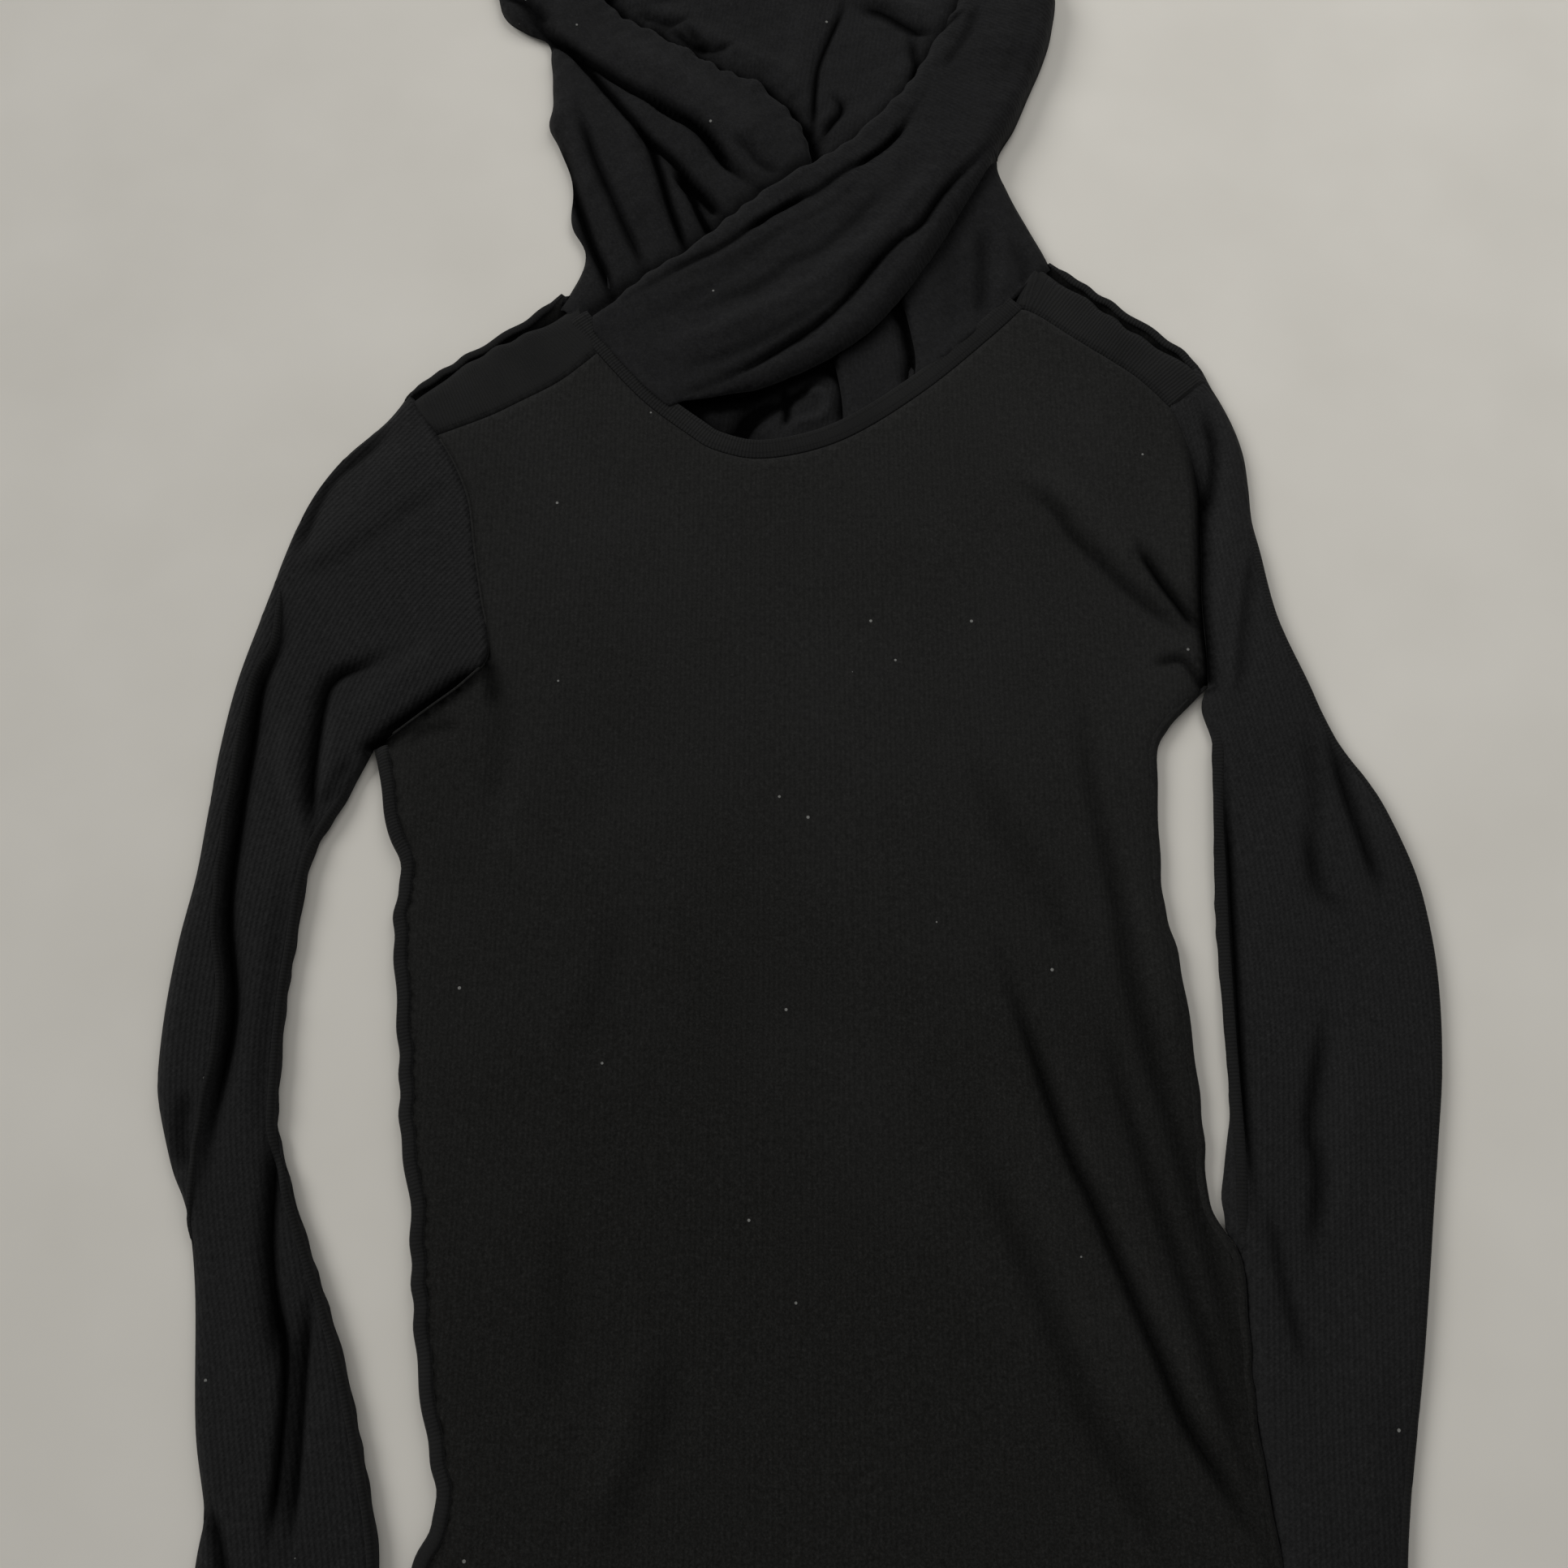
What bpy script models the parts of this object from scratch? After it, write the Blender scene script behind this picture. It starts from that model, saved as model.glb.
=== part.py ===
"""A rib-knit long-sleeved top with a crossover hood, laid flat with its front upwards.

Units are metres. +Z is up, +Y points from the hem to the hood, and the origin is on the floor under the middle of
the object's box. Right and left are the wearer's: the wearer's right sleeve lies at -X. Every cloth panel is a thin
plate at the level where it lies, so the torso, the sleeves, the neck and the hood stay hollow between their layers.
Outlines are written in millimetres, which is how a pattern is drawn, and scaled by MM.
"""

import math

import bmesh
import bpy

MM = 0.001
GAP = 0.3  # mm between neighbouring solids
CLOTH = 1.6  # mm, one layer of the rib knit with its loft
TORSO_TOP = 10.0  # mm, upper face of the front panel
SLEEVE_TOP = 9.0  # mm, upper face of a sleeve
SEAM = 8.0  # mm, width of a felled side seam
SLEEVE_SEAM = 6.0
ARMHOLE_SEAM = 6.0
BINDING = 12.0  # mm, width of the neck binding
FACE_HEM = 8.0
HEM_LOW, HEM_HIGH = -526.0, -506.0  # mm, along Y
CUFF_LOW, CUFF_HIGH = -532.0, -510.0
UNDER_WRAP_LOW = 9.0  # mm, level of the wrap that lies beneath
OUTER_WRAP_LOW = 16.0  # mm, level of the wrap that crosses over it
FOLD_Y = 234.0  # mm, the hood folds down about this line along X
CURVE_STEPS = 3  # points added per span of a smooth line
FOLD_GAP = 0.6  # mm between a sleeve's fold line and the panels on each side of it
EDGE_INSET = 0.25  # mm, keeps the faces of united solids from lying in one plane
BACK_SEAM_X = -11.0  # mm, the hood's centre back seam

# Each sleeve folds over the chest about a line from the shoulder through the armpit: upper end, then lower end.
RIGHT_FOLD = [(-274.0, 106.0), (-149.0, -505.0)]
LEFT_FOLD = [(259.0, 100.0), (135.0, -505.0)]

RIGHT_SIDE = [
    (-229, -82), (-225, -115), (-213, -151), (-213, -186), (-207, -237), (-201, -286),
    (-192, -348), (-186, -392), (-176, -440), (-180, -480), (-187, -506),
]
LEFT_SIDE = [
    (207, -64), (193, -80), (190, -115), (189, -165), (196, -215), (200, -270), (200, -315),
    (211, -346), (213, -420), (219, -480), (223, -506),
]
RIGHT_ARMHOLE = [(-210, 110), (-190, 72), (-180, 20), (-174, -25), (-188, -46), (-222, -76)]
LEFT_ARMHOLE = [(215, 126), (222, 102), (226, 70), (224, 20), (223, -20), (222, -46)]
RIGHT_CAP_EDGE = [(-230, 135), (-244, 122), (-262, 101)]
LEFT_CAP_EDGE = [(257, 50), (256, 80), (251, 118), (238, 146)]
RIGHT_YOKE_TOP = [(-144, 197), (-163, 188), (-186, 174), (-205, 160), (-225, 142)]
RIGHT_YOKE_SEAM = [(-124, 167), (-142, 150), (-165, 135), (-183, 125), (-210, 114)]
LEFT_YOKE_TOP = [(149, 226), (175, 210), (200, 188), (226, 167), (230, 153)]
LEFT_YOKE_SEAM = [(131, 203), (164, 178), (196, 153), (215, 131)]
SCOOP = [
    (-138, 192), (-123, 172), (-94, 138), (-66, 115), (-50, 104), (-25, 98),
    (7, 103), (38, 118), (76, 147), (113, 179), (132, 198),
]
BACK_NECK = [(-143, 196), (-90, 186), (0, 180), (85, 190), (147, 224)]
RIGHT_SLEEVE_OUTER = [
    (-279, 78), (-286, 59), (-297, 18), (-306, -21), (-313, -60), (-318, -115),
    (-324, -180), (-327.5, -240), (-321, -286), (-302, -332), (-295, -375), (-289, -421),
    (-282, -465), (-280, -510),
]
RIGHT_SLEEVE_INNER = [
    (-240, -82), (-247, -115), (-261, -151), (-266, -220), (-265, -270), (-250, -318),
    (-232, -363), (-212, -417), (-201, -465), (-196, -510),
]
LEFT_SLEEVE_OUTER = [
    (259, 44), (261, 18), (267, -5), (279, -41), (292, -79), (313, -115),
    (325, -155), (327.3, -200), (321, -270), (309, -332), (297, -392), (284, -449), (274, -510),
]
LEFT_SLEEVE_INNER = [
    (229.5, -70), (223.5, -97), (216, -169), (214, -215), (213, -275), (208, -318), (214.5, -349),
    (215, -421), (222, -480), (226, -510),
]
HOOD_RIGHT_EDGE = [
    (-131, 235), (-141, 282), (-154, 331), (-158, 381), (-181, 420), (-190, 452), (-172, 492),
    (-120, 520), (-60, 530), (-14.5, 532),
]
HOOD_LEFT_EDGE = [
    (147, 235), (130, 278), (123, 306), (142, 352), (158, 400), (162, 440), (148, 486),
    (104, 517), (50, 530), (-7.5, 532),
]
RIGHT_FACE_EDGE = [
    (-14.5, 490), (-70, 483), (-112, 460), (-111, 428), (-66, 405), (-22, 374), (5, 334), (9, 306),
]
UNDER_WRAP_EDGE = [(9, 306), (60, 290), (104, 268), (126, 252), (138, 235)]
LEFT_FACE_EDGE = [
    (-7.5, 490), (60, 484), (112, 464), (124, 433), (103, 398), (83, 364), (54, 337), (9, 304),
    (-42, 266), (-82, 235),
]
OUTER_WRAP_LOWER_EDGE = [(122, 300), (118, 293), (101, 265), (83, 235)]
OUTER_WRAP_END_UPPER = [(-84, 233), (-100, 219), (-119, 201)]
OUTER_WRAP_END_LOWER = [(-58, 134), (-20, 141), (18, 162), (54, 193), (68, 211), (81, 233)]
UNDER_WRAP_END = [
    (14, 127), (30, 132), (68, 160), (103, 193), (124, 212), (138, 226), (141, 233), (-8, 233), (6, 180),
]

RIB_BLACK = (0.0105, 0.0105, 0.0115, 1.0)
SEAM_BLACK = (0.014, 0.014, 0.0155, 1.0)
HOOD_BLACK = (0.0095, 0.0097, 0.0115, 1.0)


def clear_scene():
    """Removes everything that the startup file holds."""
    for thing in list(bpy.data.objects):
        bpy.data.objects.remove(thing, do_unlink=True)


def new_collection(name, hidden=False):
    collection = bpy.data.collections.new(name)
    bpy.context.scene.collection.children.link(collection)
    collection.hide_render = hidden
    return collection


def cloth_material(name, colour, roughness=0.92):
    """Matt black knit."""
    material = bpy.data.materials.new(name)
    material.use_nodes = True
    shader = material.node_tree.nodes["Principled BSDF"]
    shader.inputs["Base Color"].default_value = colour
    shader.inputs["Roughness"].default_value = roughness
    shader.inputs["Metallic"].default_value = 0.0
    return material


def smooth(points, steps=CURVE_STEPS):
    """A Catmull-Rom line through the points, with steps points for each span."""
    ends = [points[0], *points, points[-1]]
    line = []
    for a, b, c, d in zip(ends, ends[1:], ends[2:], ends[3:]):
        for k in range(steps):
            t = k / steps
            line.append(tuple(
                0.5 * (2 * b[i] + (c[i] - a[i]) * t + (2 * a[i] - 5 * b[i] + 4 * c[i] - d[i]) * t * t
                       + (3 * b[i] - a[i] - 3 * c[i] + d[i]) * t ** 3)
                for i in range(2)
            ))
    line.append(tuple(points[-1]))
    return line


def beside(line, distance):
    """The line moved to its left by a distance, or to its right if that is negative."""
    moved = []
    for i, (x, y) in enumerate(line):
        before = line[max(i - 1, 0)]
        after = line[min(i + 1, len(line) - 1)]
        dx, dy = after[0] - before[0], after[1] - before[1]
        size = math.hypot(dx, dy)
        moved.append((x - dy / size * distance, y + dx / size * distance))
    return moved


def above(line, low):
    """The line with no point below a height along Y, for panels that end square at a band."""
    return [(x, max(y, low)) for x, y in line]


def on_fold(fold, y, distance):
    """A point at height y, a distance to the +X side of a sleeve's fold line."""
    (x0, y0), (x1, y1) = fold
    return (x0 + (x1 - x0) * (y0 - y) / (y0 - y1) + distance, y)


def outline_curve(name, outlines, half_thickness):
    curve = bpy.data.curves.new(name, "CURVE")
    curve.dimensions = "2D"
    curve.fill_mode = "BOTH"
    curve.extrude = half_thickness * MM
    for outline in outlines:
        spline = curve.splines.new("POLY")
        spline.points.add(len(outline) - 1)
        for point, (x, y) in zip(spline.points, outline):
            point.co = (x * MM, y * MM, 0.0, 1.0)
        spline.use_cyclic_u = True
    return curve


def plate(name, outline, low, high, material, collection, mover=None):
    """A flat panel between two levels. A moving one has its origin on its joint's axis."""
    origin = mover if mover else (0.0, 0.0, 0.0)
    local = [(x - origin[0], y - origin[1]) for x, y in outline]
    curve = outline_curve(name, [local], (high - low) / 2)
    curve.materials.append(material)
    panel = bpy.data.objects.new(name, curve)
    panel.location = (origin[0] * MM, origin[1] * MM, (low + high) / 2 * MM)
    collection.objects.link(panel)
    return panel


def strip(name, line, width, low, high, material, collection, mover=None):
    """A band whose one edge is the line and which lies to the line's left."""
    outline = list(line) + list(reversed(beside(line, width)))
    return plate(name, outline, low, high, material, collection, mover)


def wall(name, line, width, high, material, collection, mover=None):
    """A seam that closes the side of the torso or a sleeve, square at its lower end."""
    outline = above(list(line) + list(reversed(beside(line, width))), line[-1][1])
    return plate(name, outline, 0.0, high, material, collection, mover)


def band(name, x_range, y_range, height, material, collection):
    """A flattened tube around the end of the torso or of a sleeve, open along Y."""
    half, middle = (x_range[1] - x_range[0]) / 2, sum(x_range) / 2

    def box(inset):
        return [
            (-half + inset, inset), (half - inset, inset),
            (half - inset, height - inset), (-half + inset, height - inset),
        ]

    curve = outline_curve(name, [box(0.0), box(CLOTH)], (y_range[1] - y_range[0]) / 2)
    curve.materials.append(material)
    ring = bpy.data.objects.new(name, curve)
    ring.rotation_euler = (math.pi / 2, 0.0, 0.0)
    ring.location = (middle * MM, sum(y_range) / 2 * MM, 0.0)
    collection.objects.link(ring)
    return ring


def as_mesh(curved):
    """Replaces a curve object by a mesh object with its caps welded."""
    graph = bpy.context.evaluated_depsgraph_get()
    graph.update()
    mesh = bpy.data.meshes.new_from_object(curved.evaluated_get(graph))
    work = bmesh.new()
    work.from_mesh(mesh)
    bmesh.ops.remove_doubles(work, verts=work.verts, dist=0.00001)
    bmesh.ops.recalc_face_normals(work, faces=work.faces)
    work.to_mesh(mesh)
    work.free()
    solid = bpy.data.objects.new(curved.name, mesh)
    solid.matrix_world = curved.matrix_world.copy()
    for collection in curved.users_collection:
        collection.objects.link(solid)
    name = curved.name
    bpy.data.objects.remove(curved, do_unlink=True)
    solid.name = name
    return solid


def unite(base, others):
    """Joins the others to the base with Boolean unions, and keeps them as hidden helpers."""
    for other in others:
        other.hide_render = True
        other.display_type = "WIRE"
        union = base.modifiers.new(other.name, "BOOLEAN")
        union.operation = "UNION"
        union.object = other
    return base


def turned_sheet(name, back, edge, front, top, parts, helpers, material, mover=None):
    """One sheet of cloth that lies on the floor, turns up at an outer edge and comes back over the top of itself."""
    base = as_mesh(plate(name, back, 0.0, CLOTH, material, parts, mover))
    inside = beside(edge, EDGE_INSET)
    side = as_mesh(strip(name + "_edge", inside, 3.0, EDGE_INSET, top - EDGE_INSET, material, helpers, mover))
    cover = as_mesh(plate(name + "_front", front, top - CLOTH, top, material, helpers, mover))
    return unite(base, [side, cover])


def make_torso(parts, knit, seam):
    """Front and back panels, joined by the side seams, the shoulder yokes and the hem."""
    inset = SEAM + GAP
    right_side, left_side = smooth(RIGHT_SIDE), smooth(LEFT_SIDE)
    right_inner = above(beside(right_side, inset), HEM_HIGH)
    left_inner = above(beside(left_side, -inset), HEM_HIGH)
    right_armhole, left_armhole = smooth(RIGHT_ARMHOLE), smooth(LEFT_ARMHOLE)
    scoop = smooth(SCOOP)
    yoke_right, yoke_left = smooth(RIGHT_YOKE_SEAM), smooth(LEFT_YOKE_SEAM)
    back_neck = smooth(BACK_NECK)

    clear = ARMHOLE_SEAM / 2 + GAP
    right_end, left_end = beside(right_armhole, clear), beside(left_armhole, -clear)
    front = (
        list(reversed(right_inner))
        + list(reversed(right_end))
        + [(x + 1, y - 1.5) for x, y in reversed(yoke_right)][1:-1]
        + [(x, y) for x, y in beside(scoop, -GAP) if y < (162 if x < 0 else 195)]
        + [(x - 1, y - 1.5) for x, y in yoke_left[1:-1]]
        + left_end
        + left_inner
    )
    plate("front_panel", front, TORSO_TOP - CLOTH, TORSO_TOP, knit, parts)

    back = (
        list(reversed(right_inner))
        + list(reversed(right_end))
        + [(x + 1, y - 1.5) for x, y in reversed(yoke_right)]
        + [(x, y - 1) for x, y in back_neck[3:-3]]
        + [(x - 1, y - 1.5) for x, y in yoke_left]
        + left_end
        + left_inner
    )
    plate("back_panel", back, 0.0, CLOTH, knit, parts)

    wall("right_side_seam", right_side, SEAM, TORSO_TOP, seam, parts)
    wall("left_side_seam", left_side, -SEAM, TORSO_TOP, seam, parts)
    for name, armhole in (("right_armhole_seam", right_armhole), ("left_armhole_seam", left_armhole)):
        line = beside(armhole[1:-1], -ARMHOLE_SEAM / 2)
        strip(name, line, ARMHOLE_SEAM, TORSO_TOP - CLOTH, TORSO_TOP + 0.5, seam, parts)
    band("hem_band", (-190.0, 224.0), (HEM_LOW, HEM_HIGH - GAP), TORSO_TOP, seam, parts)


def make_sleeve_caps(parts, helpers, knit):
    """The top of each sleeve between its armhole and its fold line. It stays with the torso."""
    clear = ARMHOLE_SEAM / 2 + GAP
    right_armhole, left_armhole = smooth(RIGHT_ARMHOLE), smooth(LEFT_ARMHOLE)
    right_fold = [on_fold(RIGHT_FOLD, y, FOLD_GAP) for y in (-74, 0, 90)]
    right = beside(right_armhole[1:-2], -clear) + right_fold + list(reversed(RIGHT_CAP_EDGE))
    turned_sheet("right_sleeve_cap", right, RIGHT_CAP_EDGE, right, TORSO_TOP, parts, helpers, knit)
    left_fold = [on_fold(LEFT_FOLD, y, -FOLD_GAP) for y in (-46, 0, 40)]
    left = beside(left_armhole, clear) + left_fold + LEFT_CAP_EDGE
    turned_sheet("left_sleeve_cap", left, LEFT_CAP_EDGE, left, TORSO_TOP, parts, helpers, knit)


def make_shoulders_and_neck(parts, knit, seam, hood):
    """The shoulder yokes, the neck binding, and the ends of the hood that are sewn into the neckline."""
    right_yoke = smooth(RIGHT_YOKE_TOP) + list(reversed(smooth(RIGHT_YOKE_SEAM)))
    plate("right_shoulder_yoke", right_yoke, 0.0, TORSO_TOP, seam, parts)
    left_yoke = smooth(LEFT_YOKE_TOP) + list(reversed(smooth(LEFT_YOKE_SEAM)))
    plate("left_shoulder_yoke", left_yoke, 0.0, TORSO_TOP, seam, parts)

    scoop = beside(smooth(SCOOP), GAP)
    strip("neck_binding", scoop[2:-2], BINDING, TORSO_TOP - CLOTH, TORSO_TOP + 1.0, seam, parts)
    back_neck = smooth(BACK_NECK)
    strip("back_neck_tape", beside(back_neck[4:-4], -14.0), 10.0, CLOTH + GAP, CLOTH + 1.3, seam, parts)
    base = (
        [(x, y + 0.5) for x, y in back_neck[1:-1]]
        + [(148, 233), (-130, 233)]
    )
    plate("hood_base", base, 0.0, CLOTH, hood, parts)
    inner_binding = beside(smooth(SCOOP), BINDING + 2 * GAP + 0.6)
    outer_end = (
        smooth(OUTER_WRAP_END_UPPER)
        + inner_binding[5:10]
        + smooth(OUTER_WRAP_END_LOWER)
    )
    plate("outer_wrap_end", outer_end, 12.0, 12.0 + CLOTH, hood, parts)
    plate("under_wrap_end", UNDER_WRAP_END, UNDER_WRAP_LOW, UNDER_WRAP_LOW + CLOTH, hood, parts)
    upper = smooth(OUTER_WRAP_END_UPPER)
    strip("outer_wrap_hem", upper, FACE_HEM, 12.0 + CLOTH + GAP, 15.2, seam, parts)


def make_sleeve(side, fold, fold_heights, outer, inner, parts, knit, seam):
    """One sleeve: an upper and an under panel between two seams, and a cuff."""
    toward = 1 if side == "right" else -1
    outer_line, inner_line = smooth(outer), smooth(inner)
    inset = SLEEVE_SEAM + GAP
    outer_inset = above(beside(outer_line, toward * inset), CUFF_HIGH)
    inner_inset = above(beside(inner_line, -toward * inset), CUFF_HIGH)
    folded = [on_fold(fold, y, -toward * FOLD_GAP) for y in fold_heights]
    panel = outer_inset + list(reversed(inner_inset)) + folded
    at = on_fold(fold, 0.0, 0.0)
    plate(f"{side}_sleeve_under", panel, 0.0, CLOTH, knit, parts, at)
    plate(f"{side}_sleeve_upper", panel, SLEEVE_TOP - CLOTH, SLEEVE_TOP, knit, parts, at)
    wall(f"{side}_sleeve_outer_seam", outer_line, toward * SLEEVE_SEAM, SLEEVE_TOP, seam, parts, at)
    wall(f"{side}_sleeve_inner_seam", inner_line, -toward * SLEEVE_SEAM, SLEEVE_TOP, seam, parts, at)
    ends = sorted((outer[-1][0], inner[-1][0]))
    band(f"{side}_cuff", ends, (CUFF_LOW, CUFF_HIGH - GAP), SLEEVE_TOP, seam, parts)


def make_hood(parts, helpers, hood, seam):
    """Two halves joined by the centre back seam, and the hems of the face opening."""
    right_edge = smooth(HOOD_RIGHT_EDGE)
    left_edge = list(reversed(smooth(HOOD_LEFT_EDGE)))
    right_face, left_face = smooth(RIGHT_FACE_EDGE), smooth(LEFT_FACE_EDGE)
    right_back = right_edge + [(BACK_SEAM_X - 3.3, 235)]
    left_back = left_edge + [(BACK_SEAM_X + 3.3, 235)]
    right_front = right_edge + right_face + smooth(UNDER_WRAP_EDGE)[1:]
    left_front = left_edge[:-10] + smooth(OUTER_WRAP_LOWER_EDGE) + list(reversed(left_face))
    at = (0.0, FOLD_Y)
    turned_sheet(
        "hood_right_half", right_back, list(reversed(right_edge)), right_front, UNDER_WRAP_LOW + CLOTH,
        parts, helpers, hood, at,
    )
    turned_sheet(
        "hood_left_half", left_back, list(reversed(left_edge)), left_front, OUTER_WRAP_LOW + CLOTH,
        parts, helpers, hood, at,
    )
    seam_line = [(BACK_SEAM_X + 3.0, 236), (BACK_SEAM_X + 3.0, 400), (BACK_SEAM_X + 3.0, 531)]
    strip("hood_back_seam", seam_line, 6.0, 0.0, CLOTH + 0.6, seam, parts, at)
    right_hem = beside(right_face, -1.0)
    under_top = UNDER_WRAP_LOW + CLOTH + GAP
    strip("right_face_hem", right_hem, -FACE_HEM, under_top, under_top + 1.2, seam, parts, at)
    left_hem = beside(left_face, 1.0)
    outer_top = OUTER_WRAP_LOW + CLOTH + GAP
    strip("left_face_hem", left_hem, FACE_HEM, outer_top, outer_top + 1.2, seam, parts, at)


def main():
    clear_scene()
    parts = new_collection("wrap_hood_top")
    helpers = new_collection("helpers", hidden=True)
    knit = cloth_material("rib_knit", RIB_BLACK)
    seam = cloth_material("seam_knit", SEAM_BLACK)
    hood = cloth_material("hood_knit", HOOD_BLACK, 0.9)
    make_torso(parts, knit, seam)
    make_sleeve_caps(parts, helpers, knit)
    make_shoulders_and_neck(parts, knit, seam, hood)
    make_sleeve(
        "right", RIGHT_FOLD, (-66, 0, 60, 74), RIGHT_SLEEVE_OUTER, RIGHT_SLEEVE_INNER, parts, knit, seam,
    )
    make_sleeve(
        "left", LEFT_FOLD, (-62, 0, 36), LEFT_SLEEVE_OUTER, LEFT_SLEEVE_INNER, parts, knit, seam,
    )
    make_hood(parts, helpers, hood, seam)


main()
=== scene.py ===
"""The looks of the rib-knit top with the crossover hood: cloth, seams, floor, lights and camera.

Outlines, fold lines and heights are in millimetres in the frame's own axes, and meshes are made in
metres. Each cloth is one or more skins. A skin is an outline filled with points, whose height comes
from rolled edges, folds and a little unevenness. A seam, hem or binding is a ribbon that lies on the
skin's height.
"""

import math

import bmesh
import bpy
import numpy as np
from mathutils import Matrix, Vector, geometry


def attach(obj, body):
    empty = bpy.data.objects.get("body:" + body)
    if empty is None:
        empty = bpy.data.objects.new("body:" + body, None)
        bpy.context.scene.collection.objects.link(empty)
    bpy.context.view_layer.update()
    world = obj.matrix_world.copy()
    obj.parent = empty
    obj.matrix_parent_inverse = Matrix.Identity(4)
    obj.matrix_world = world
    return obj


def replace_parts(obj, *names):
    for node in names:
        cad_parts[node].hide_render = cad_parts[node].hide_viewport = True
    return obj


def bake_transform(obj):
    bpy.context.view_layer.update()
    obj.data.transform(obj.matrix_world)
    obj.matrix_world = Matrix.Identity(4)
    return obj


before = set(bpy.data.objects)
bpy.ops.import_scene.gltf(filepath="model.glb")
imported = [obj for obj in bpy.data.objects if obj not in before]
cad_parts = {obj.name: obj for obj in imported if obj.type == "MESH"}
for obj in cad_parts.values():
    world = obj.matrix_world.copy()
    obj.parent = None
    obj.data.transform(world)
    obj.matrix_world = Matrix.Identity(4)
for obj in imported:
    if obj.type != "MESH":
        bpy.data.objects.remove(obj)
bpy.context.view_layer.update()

MM = 0.001
CLOTH = 0.9  # mm, thickness of the knit
RIDGE = 0.6  # mm, thickness of a ribbon that lies on a blended cloth
RIB = 2.7  # mm from one rib to the next
FOLD_POINTS = 4.0  # mm between the points added along a fold
WELD = 0.0004  # m, joins the skins of one cloth along their common edge

TORSO_TOP, TORSO_EDGE = 9.3, 4.6  # mm, height of the front in the middle and at its sides
SLEEVE_TOP, SLEEVE_EDGE = 8.6, 4.0
UNDER = 0.9  # mm, height of the cloth that lies on the floor
SKY_STRENGTH, KEY_STRENGTH, FILL_STRENGTH = 0.31, 1.5, 4.6
SPECULAR, SHEEN = 0.08, 0.024  # the knit is matt, and painted shade lowers both further down in its creases
PAINTED_SHADE_STRENGTH = 0.93  # share of its colour, specular and sheen that painted shade takes from the knit at the bottom of the deepest fold
LIGHTEST_PAINTED_RIDGE = -0.35  # value of the lightest ridge, whose painted highlight lightens the knit
VALLEY_SLOPE, RIDGE_HEIGHT = 1.3, 14.0  # depth over reach of a valley that gets full painted shade, and height in mm of a ridge that gets full painted highlight
BUMP_STRENGTH = 0.9
LINT = (0.16, 0.16, 0.15)
CAMERA_PLACE, CAMERA_TILT = (-0.010, -0.366, 0.80), 18.4  # m, and degrees off straight down

# ---------------------------------------------------------------- outlines

RIGHT_SIDE = [
    (-231, -82), (-226, -99), (-223, -117), (-217, -134), (-211, -150), (-213, -170), (-212, -187),
    (-208, -221), (-204, -254), (-201, -286), (-194, -317), (-191, -348), (-185, -392), (-179, -421),
    (-172, -449), (-173, -462), (-180, -478), (-186, -508),
]
LEFT_SIDE = [
    (221, -46), (207, -60), (197, -71), (191, -84), (189, -117), (188, -165), (193, -192), (196, -221),
    (198, -254), (199, -286), (199, -317), (207, -334), (213, -352), (213.5, -421), (219, -478),
    (223, -508),
]
RIGHT_ARMHOLE = [
    (-231, -82), (-206, -61), (-184, -43), (-173, -30), (-174, -10), (-177, 4), (-183, 36), (-188, 66),
    (-198, 90), (-209, 108),
]
LEFT_ARMHOLE = [(213, 126), (221, 102), (225.5, 72), (224, 40), (221.5, 4), (221.5, -24), (221, -46)]
RIGHT_YOKE_LOW = [(-209, 108), (-181, 120), (-163, 130), (-140, 144), (-119, 163)]
RIGHT_YOKE_HIGH = [(-226, 131), (-203, 151), (-185, 165), (-162, 178), (-145, 187), (-131, 199)]
LEFT_YOKE_LOW = [(125, 193), (137, 190), (162, 171), (194, 147), (213, 126)]
LEFT_YOKE_HIGH = [(140, 226), (151, 216), (171, 201), (196, 179), (225, 157), (237, 144)]
NECKLINE = [
    (-136, 184), (-122, 166), (-93, 132), (-65, 108.5), (-50, 98.5), (-25, 92.5), (7, 98), (37, 112),
    (75, 140), (111, 173), (131, 193),
]
RIGHT_BACK_SHOULDER = [(-231, 134), (-225, 142), (-196, 164), (-163, 187.5), (-143, 207)]
LEFT_BACK_SHOULDER = [(150, 229), (173, 209.5), (200, 187.5), (227, 164), (239, 143)]
BACK_NECK = [(-143, 207), (-90, 190), (0, 182), (85, 192), (150, 229)]

RIGHT_SLEEVE_OUTER = [
    (-228, 139), (-240, 120), (-261, 98), (-275, 77), (-284, 56), (-290, 36), (-295, 16), (-300, -4),
    (-309, -43), (-314, -81), (-316, -117), (-318, -152), (-323, -187), (-325.5, -221), (-325.5, -254),
    (-323, -271), (-313, -301), (-305, -317), (-300, -332), (-294, -363), (-287, -421), (-279, -456),
    (-280, -476), (-282, -512),
]
RIGHT_SLEEVE_INNER = [
    (-231, -82), (-238, -99), (-246, -117), (-255, -134), (-259.5, -152), (-262, -187), (-264, -221),
    (-263, -271), (-261, -286), (-250, -317), (-237, -348), (-219, -392), (-202, -449), (-196, -476),
    (-192, -512),
]
LEFT_SLEEVE_OUTER = [
    (213, 126), (230, 158), (240, 141), (249, 119), (254, 98), (255, 77), (255, 56), (258, 36), (264, -4),
    (277, -43), (283, -62), (292, -84), (302, -99), (311, -117), (322, -152), (326, -187), (325.5, -221),
    (322, -254), (316, -286), (307, -332), (295, -392), (282, -449), (276, -482), (273, -512),
]
LEFT_SLEEVE_INNER = [
    (221, -46), (217, -58), (221, -80), (221, -117), (216, -152), (214, -187), (214, -254), (211, -286),
    (206, -309), (206, -330), (212, -349), (213, -421), (218, -478), (222, -512),
]

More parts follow.
